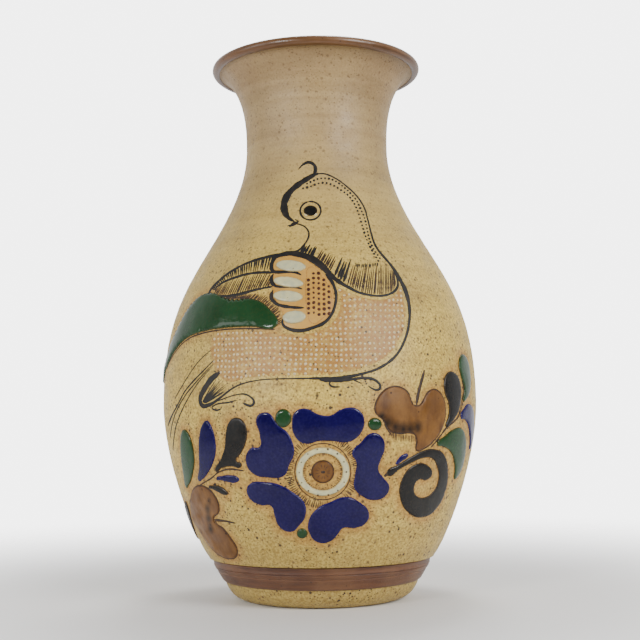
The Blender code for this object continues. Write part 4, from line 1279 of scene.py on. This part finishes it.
BREAST = [(-56, 129), (-52, 132.6), (-45, 133.4), (-32, 132.6), (-20, 131.6), (-15, 130.6),
          (-8, 130.2), (-2, 131), (5, 134.5), (9, 140), (10.2, 147), (9.5, 152), (13, 150.6),
          (20, 148), (28, 146.8), (34, 147.6), (38.5, 150), (41, 153.5), (42.6, 149),
          (43.6, 142), (42.6, 135), (39.6, 128), (34.6, 121.5), (28, 117), (20, 114),
          (10, 111.6), (0, 111), (-10, 110.8), (-25, 110.8), (-36, 110), (-44, 108.6),
          (-50, 111.5), (-54, 117)]


# --- Making the pieces ---------------------------------------------------------------------

def shifted(points, across, up, turn):
    """A drawn shape turned about its own origin and moved."""
    cos, sin = math.cos(math.radians(turn)), math.sin(math.radians(turn))
    return [(across + x * cos - y * sin, up + x * sin + y * cos) for x, y in points]


def circle(across, up, radius, first=0, last=360, count=25):
    """Points along part of a circle."""
    angles = np.radians(np.linspace(first, last, count))
    return [(across + radius * math.cos(a), up + radius * math.sin(a)) for a in angles]


def stroke_outline(spine):
    """The outline of a stroke whose spine is (across, up, width), with a round far end."""
    line = np.array([point[:2] for point in spine], float)
    half = np.array([point[2] for point in spine])[:, None] / 2
    along = np.gradient(line, axis=0)
    along /= np.linalg.norm(along, axis=1)[:, None]
    side = np.stack([-along[:, 1], along[:, 0]], axis=1) * half
    tip = line[-1] + along[-1] * half[-1]
    return [*(line + side), tip, *(line - side)[::-1]]


def closed(points):
    """The smooth outline as a chain that meets itself."""
    rows = round_outline(points, 2)
    return [tuple(row) for row in np.vstack([rows, rows[:1]])]


def make_flower():
    """Petals, ring, eye and berries, and the brushed fringe in the ring and round it."""
    for name, points in PETALS.items():
        glaze_pad(name, "cobalt_glaze", [points])
    across, up = FLOWER_CENTRE
    ring = [oval(across, up, *size, 16) for size in FLOWER_RING]
    glaze_pad("flower_ring", "celadon_glaze", ring, 0.0009, edge=0.0009)
    glaze_pad("flower_eye", "brown_glaze", [oval(across, up, 5, 5)], 0.0006)
    for name, (x, y, half_width, half_height) in BERRIES.items():
        outline = oval(x, y, half_width, half_height, 8)
        glaze_pad(name, "green_glaze", [outline], 0.0012, edge=0.0018)
    fringe = [hatched(circle(across, up, outer), circle(across, up, inner), count, OXIDE, seed,
                      half_width) for outer, inner, count, seed, half_width in FRINGES]
    fringe.append(brushed([circle(across, up, radius) for radius in RING_LINES], OXIDE, 0.5))
    dots = dotted([circle(across, up, RING_DOTS)], OXIDE, 13, 0.0047, 0.0004)
    fringe.append(raised(dots, ON_RING))
    shown("flower_fringe", lay(joined(fringe)), "brown_slip")
    heart = [dotted([[(across - 0.2, up), (across + 0.4, up)]], OXIDE, 14, 0.001, 0.0006),
             hatched(circle(across, up, 3.4), circle(across, up, 1.4), 12, OXIDE, 15, 0.00016)]
    marks = [raised(mesh, ON_EYE) for mesh in heart]
    shown("flower_eye_marks", lay(joined(marks)), "brown_slip")


def make_bird_glazes():
    """The bird's raised glazes: its wing, its shoulder and its four pale feathers."""
    glaze_pad("wing_glaze", "green_glaze", [WING], 0.0009, edge=0.0016)
    glaze_pad("shoulder_patch", "amber_glaze", [SHOULDER], 0.0003, edge=0.0005)
    for name, (across, up, half_length, half_width, turn) in FEATHERS.items():
        outline = oval(across, up, half_length, half_width, 10, turn)
        glaze_pad(name, "celadon_glaze", [outline], 0.0009, edge=0.0014)


def make_bird_lines():
    """The bird's outline, its eye, and the dots of its head and shoulder."""
    lines = [brushed([BACK_LINE, CREST, CREST_CURL, BEAK, BEAK_TICK, THROAT, COLLAR, WING_TOP,
                      WING_SECOND, WING_LOWER, *FEATHER_LINES], BLACK),
             brushed([circle(*EYE_CENTRE, 5.1, 100, 460)], BLACK, 1.0)]
    shown("bird_lines", lay(joined(lines)), "charcoal_glaze")
    pupil = oval(*EYE_CENTRE, 3.5, 3, 10)
    glaze_pad("bird_pupil", "charcoal_glaze", [pupil], 0.00025, edge=0.0006, nodes=())
    glints = [dotted([[(x, 190.9), (x + 0.3, 190.9)]], DOTS, 21, 0.001, 0.0007)
              for x in (-5.6, -1)]
    shown("eye_glints", lay(joined(glints)), "celadon_glaze")
    heads = [dotted([OUTER_HEAD_DOTS], BLACK, 22, 0.0019, 0.00064),
             dotted([INNER_HEAD_DOTS], BLACK, 23, 0.002, 0.00066)]
    shown("head_dots", lay(joined(heads)), "charcoal_glaze")
    rows = [[(x, 139 + 0.6 * (x % 2)), (x, 161 - 1.4 * abs(x + 1))]
            for x in (-4.6, -2.2, 0.2, 2.6, 4.9)]
    dots = dotted(rows, RUST, 24, 0.0023, 0.00078)
    shown("shoulder_dots", lay(raised(dots, ON_SHOULDER)), "brown_slip")


def hatching(rows):
    """The strokes of a hatching table."""
    oxides = {"manganese": BLACK, "iron": OXIDE}
    return [hatched(roots, tips, count, oxides[oxide], seed, half_width)
            for roots, tips, count, oxide, seed, half_width in rows]


def make_bird_hatching():
    """The fine strokes of wing, collar and tail, and the flourishes it perches on."""
    wing = hatching(WING_HATCHING) + [brushed([WING_EDGE], OXIDE, 0.8)]
    shown("wing_hatching", lay(joined(wing)), "charcoal_glaze")
    shown("collar_fringe", lay(joined(hatching(COLLAR_HATCHING))), "charcoal_glaze")
    tail = [brushed(TAIL_LINES, BLACK)] + hatching(TAIL_HATCHING)
    shown("tail_lines", lay(joined(tail)), "charcoal_glaze")
    shown("perch_flourishes", lay(brushed(PERCH_LINES, BLACK)), "charcoal_glaze")


def make_breast():
    """Thin washes under the breast and the feathers, and the breast's raised dots."""
    glaze_pad("breast_wash", "amber_glaze", [BREAST], material=WASH, **WASH_COAT)
    glaze_pad("feather_wash", "amber_glaze", [FEATHER_GROUND], **WASH_COAT)
    field = dotted_field(BREAST, DOTS, 41, **{
        "Pitch": 0.00232, "Dot Radius": 0.00062, "Height": 0.00038, "Margin": 0.0008,
        "Unevenness": 0.00025})
    shown("breast_dots", lay(raised(field, ON_WASH)), "celadon_glaze")


def make_sprays():
    """Hearts, leaves, buds and scroll on both sides of the flower, with their lines."""
    glaze_pad("heart_right", "honey_glaze", [HEART_RIGHT], pools=RIGHT_POOLS, **THIN_GLAZE)
    glaze_pad("heart_left", "honey_glaze", [HEART_LEFT], pools=LEFT_POOLS, **THIN_GLAZE)
    glaze_pad("scroll_right", "charcoal_glaze", [stroke_outline(SCROLL)], 0.0006)
    for name, (slot, points) in LEAVES.items():
        glaze_pad(name, slot, [points])
    lines = [closed(HEART_RIGHT), closed(HEART_LEFT), *HEART_STALKS]
    brown = [brushed(lines, OXIDE, 0.7), *hatching(HEART_FRINGE)]
    shown("heart_lines", lay(joined(brown)), "brown_slip")
    shown("stems", lay(brushed(STEMS, OXIDE, 0.8)), "brown_slip")


def make_back():
    """A smaller flower and four leaves at the back."""
    across, up = BACK_CENTRE
    for number in range(BACK_PETALS):
        petal = shifted(BACK_PETAL, across, up, 360 * number / BACK_PETALS)
        glaze_pad(f"back_petal_{number + 1}", "cobalt_glaze", [petal], turn=BACK_TURN)
    ring = [oval(across, up, 9.4, 9.4, 14), oval(across, up, 6.4, 6.4, 14)]
    glaze_pad("back_flower_ring", "celadon_glaze", ring, turn=BACK_TURN)
    eye = oval(across, up, 3.6, 3.6)
    glaze_pad("back_flower_eye", "brown_glaze", [eye], 0.0006, turn=BACK_TURN)
    stems = [brushed([circle(across, up, 3.7)], OXIDE, 0.5),
             hatched(circle(across, up, 13.4), circle(across, up, 10.4), 76, OXIDE, 61,
                     0.00021)]
    for name, (slot, foot, turn) in BACK_LEAVES.items():
        glaze_pad(name, slot, [shifted(LEAF, *foot, turn)], turn=BACK_TURN)
        root = shifted([(-9, -3), (-4, -0.6), (0, 0), (8, 0.6)], *foot, turn)
        stems.append(brushed([root], OXIDE, 0.8))
    shown("back_lines", lay(joined(stems), BACK_TURN), "brown_slip")


def make_sides():
    """A heart with three leaves on each side."""
    for side, place in SIDE_TURNS.items():
        heart = shifted(SIDE_HEART, 0, SIDE_HEART_UP, 0)
        glaze_pad(side + "_heart", "honey_glaze", [heart], turn=place, pools=SIDE_POOLS,
                  **THIN_GLAZE)
        lines = [closed(heart), [(0, 69, 1.2), (0.5, 75, 1), (0, 82, 0.8)]]
        for name, (slot, foot, turn) in SIDE_LEAVES.items():
            leaf = shifted(LEAF, *foot, turn)
            glaze_pad(side + "_" + name, slot, [leaf], turn=place)
            lines.append([(0, 75, 0.7), (foot[0] * 0.6, 77, 0.8), (*foot, 0.9)])
        shown(side + "_lines", lay(brushed(lines, OXIDE, 0.7), place), "brown_slip")


def flush_round_glazes(mesh):
    """Gives the wall how near it is to a glaze, from 1 at its edge to 0."""
    tree = kdtree.KDTree(len(HALO_PLACES))
    for number, place in enumerate(HALO_PLACES):
        tree.insert(place, number)
    tree.balance()
    near = [max(0, 1 - tree.find(vertex.co)[2] / HALO) for vertex in mesh.vertices]
    mark(mesh, "halo", near)


def make_stage():
    """A round pale floor that fades into the pale surroundings."""
    mesh = bpy.data.meshes.new("floor")
    bm = bmesh.new()
    bmesh.ops.create_circle(bm, cap_ends=True, radius=FLOOR_REACH, segments=96)
    bm.to_mesh(mesh)
    bm.free()
    floor = placed("floor", mesh)
    material, tree, shader = ceramic("pale_floor", 0.7)
    place = add(tree, "ShaderNodeTexCoord").outputs["Object"]
    away = add(tree, "ShaderNodeVectorMath", {0: place}, operation="LENGTH")
    fade = add(tree, "ShaderNodeMapRange", {
        "Value": away, "From Min": FLOOR_REACH * 0.2, "From Max": FLOOR_REACH * 0.97,
        "To Min": 1.0, "To Max": 0.0}, interpolation_type="SMOOTHSTEP")
    fill(tree, shader, {"Base Color": paint("F2F1EF"), "Alpha": fade})
    mesh.materials.append(material)


def lamp(name, place, size, power):
    """A soft square lamp that points at the middle of the vase."""
    light = bpy.data.lights.new(name, "AREA")
    light.size = size
    light.energy = power
    holder = placed(name, light)
    holder.location = place
    towards = Vector((0, 0, HEIGHT / 2)) - Vector(place)
    holder.rotation_euler = towards.to_track_quat("-Z", "Y").to_euler()
    holder.visible_camera = False


def make_light():
    """Pale surroundings that light the vase mostly from behind, and soft lamps in front."""
    world = bpy.data.worlds.new("studio")
    world.use_nodes = True
    tree = world.node_tree
    seen = tree.nodes["Background"]
    fill(tree, seen, {"Color": paint("FFFFFF"), "Strength": 5.0})
    place = add(tree, "ShaderNodeTexCoord").outputs["Generated"]
    behind = add(tree, "ShaderNodeSeparateXYZ", {0: place}).outputs["Y"]
    strength = add(tree, "ShaderNodeMapRange", {
        "Value": behind, "From Min": -0.2, "From Max": 0.8, "To Min": 0.09, "To Max": 1.6})
    around = add(tree, "ShaderNodeBackground", {"Strength": strength})
    ray = add(tree, "ShaderNodeLightPath").outputs["Is Camera Ray"]
    both = add(tree, "ShaderNodeMixShader", {0: ray, 1: around, 2: seen})
    fill(tree, tree.nodes["World Output"], {"Surface": both})
    bpy.context.scene.world = world
    lamp("window_right", (0.8, -0.8, 0.55), 0.6, 15)
    lamp("window_front", (-0.57, -0.82, 0.34), 0.2, 5)
    lamp("window_left", (-0.9, -0.4, 0.3), 0.5, 3)
    lamp("ceiling_panel", (0.1, 0.35, 1.1), 0.3, 5)


def make_camera():
    """A camera low in front, tilted up a little and not quite level."""
    camera = bpy.data.cameras.new("camera")
    camera.lens = CAMERA_LENS
    holder = placed("camera", camera)
    holder.location = CAMERA_PLACE
    level = Euler((math.radians(90) + CAMERA_TILT, 0, 0)).to_quaternion()
    roll = Quaternion((0, 0, 1), CAMERA_ROLL)
    holder.rotation_euler = (level @ roll).to_euler()
    bpy.context.scene.camera = holder


# --- The vase ------------------------------------------------------------------------------

TURNED = turned_wall_tree()
BRUSH_LINE = brush_line_tree()
HATCHING = hatching_tree()
DOT_ROW = dot_row_tree()
DOT_FIELD = dot_field_tree()

WASH = rust_wash()
DOTS = raised_dot_slip()
BLACK = brushed_oxide("brushed_manganese", "0C0A08", "2A211A", 0.6)
OXIDE = brushed_oxide("brushed_iron", "2E1C0D", "573A1F", 0.6)
RUST = brushed_oxide("rust_dots", "3F1E10", "5F3219", 0.4)
GLAZES = {
    "cobalt_glaze": cobalt_glaze(),
    "green_glaze": copper_green_glaze(),
    "charcoal_glaze": charcoal_glaze(),
    "honey_glaze": honey_glaze(),
    "celadon_glaze": celadon_glaze(),
    "amber_glaze": amber_glaze(),
}
GLAZES["brown_glaze"] = GLAZES["honey_glaze"]

HALO_PLACES = []            # the points of every glaze's edge, as each pad is laid

wall = turned("thrown_wall", clay_profile(), speckled_stoneware(), 250)
WALL_TREE = wall_of(wall)
lip = turned("lip_coat", lip_coat_profile(), iron_slip("lip_glaze_coat", "543820", "785638", 0.3),
             240)
SLIP = iron_slip("foot_slip", "48291A", "603B22", 0.45)
upper = turned("foot_upper", band_profile(UPPER_HIGH.z, UPPER_LOW.z, 0.0003), SLIP, 240)
lower = turned("foot_lower", band_profile(UPPER_LOW.z, LOWER_LOW.z, 0.0001, 0.0004), SLIP, 240)
shown("lip_coat", lip, "brown_glaze", "lip_glaze")
shown("foot_slip_upper", upper, "brown_slip", "foot_band_upper")
shown("foot_slip_lower", lower, "brown_slip", "foot_band_lower")
make_flower()
make_bird_glazes()
make_sprays()
make_back()
make_sides()
flush_round_glazes(wall)
make_bird_lines()
make_bird_hatching()
make_breast()
shown("thrown_wall", wall, "clay", "vase_body")
make_stage()
make_light()
make_camera()
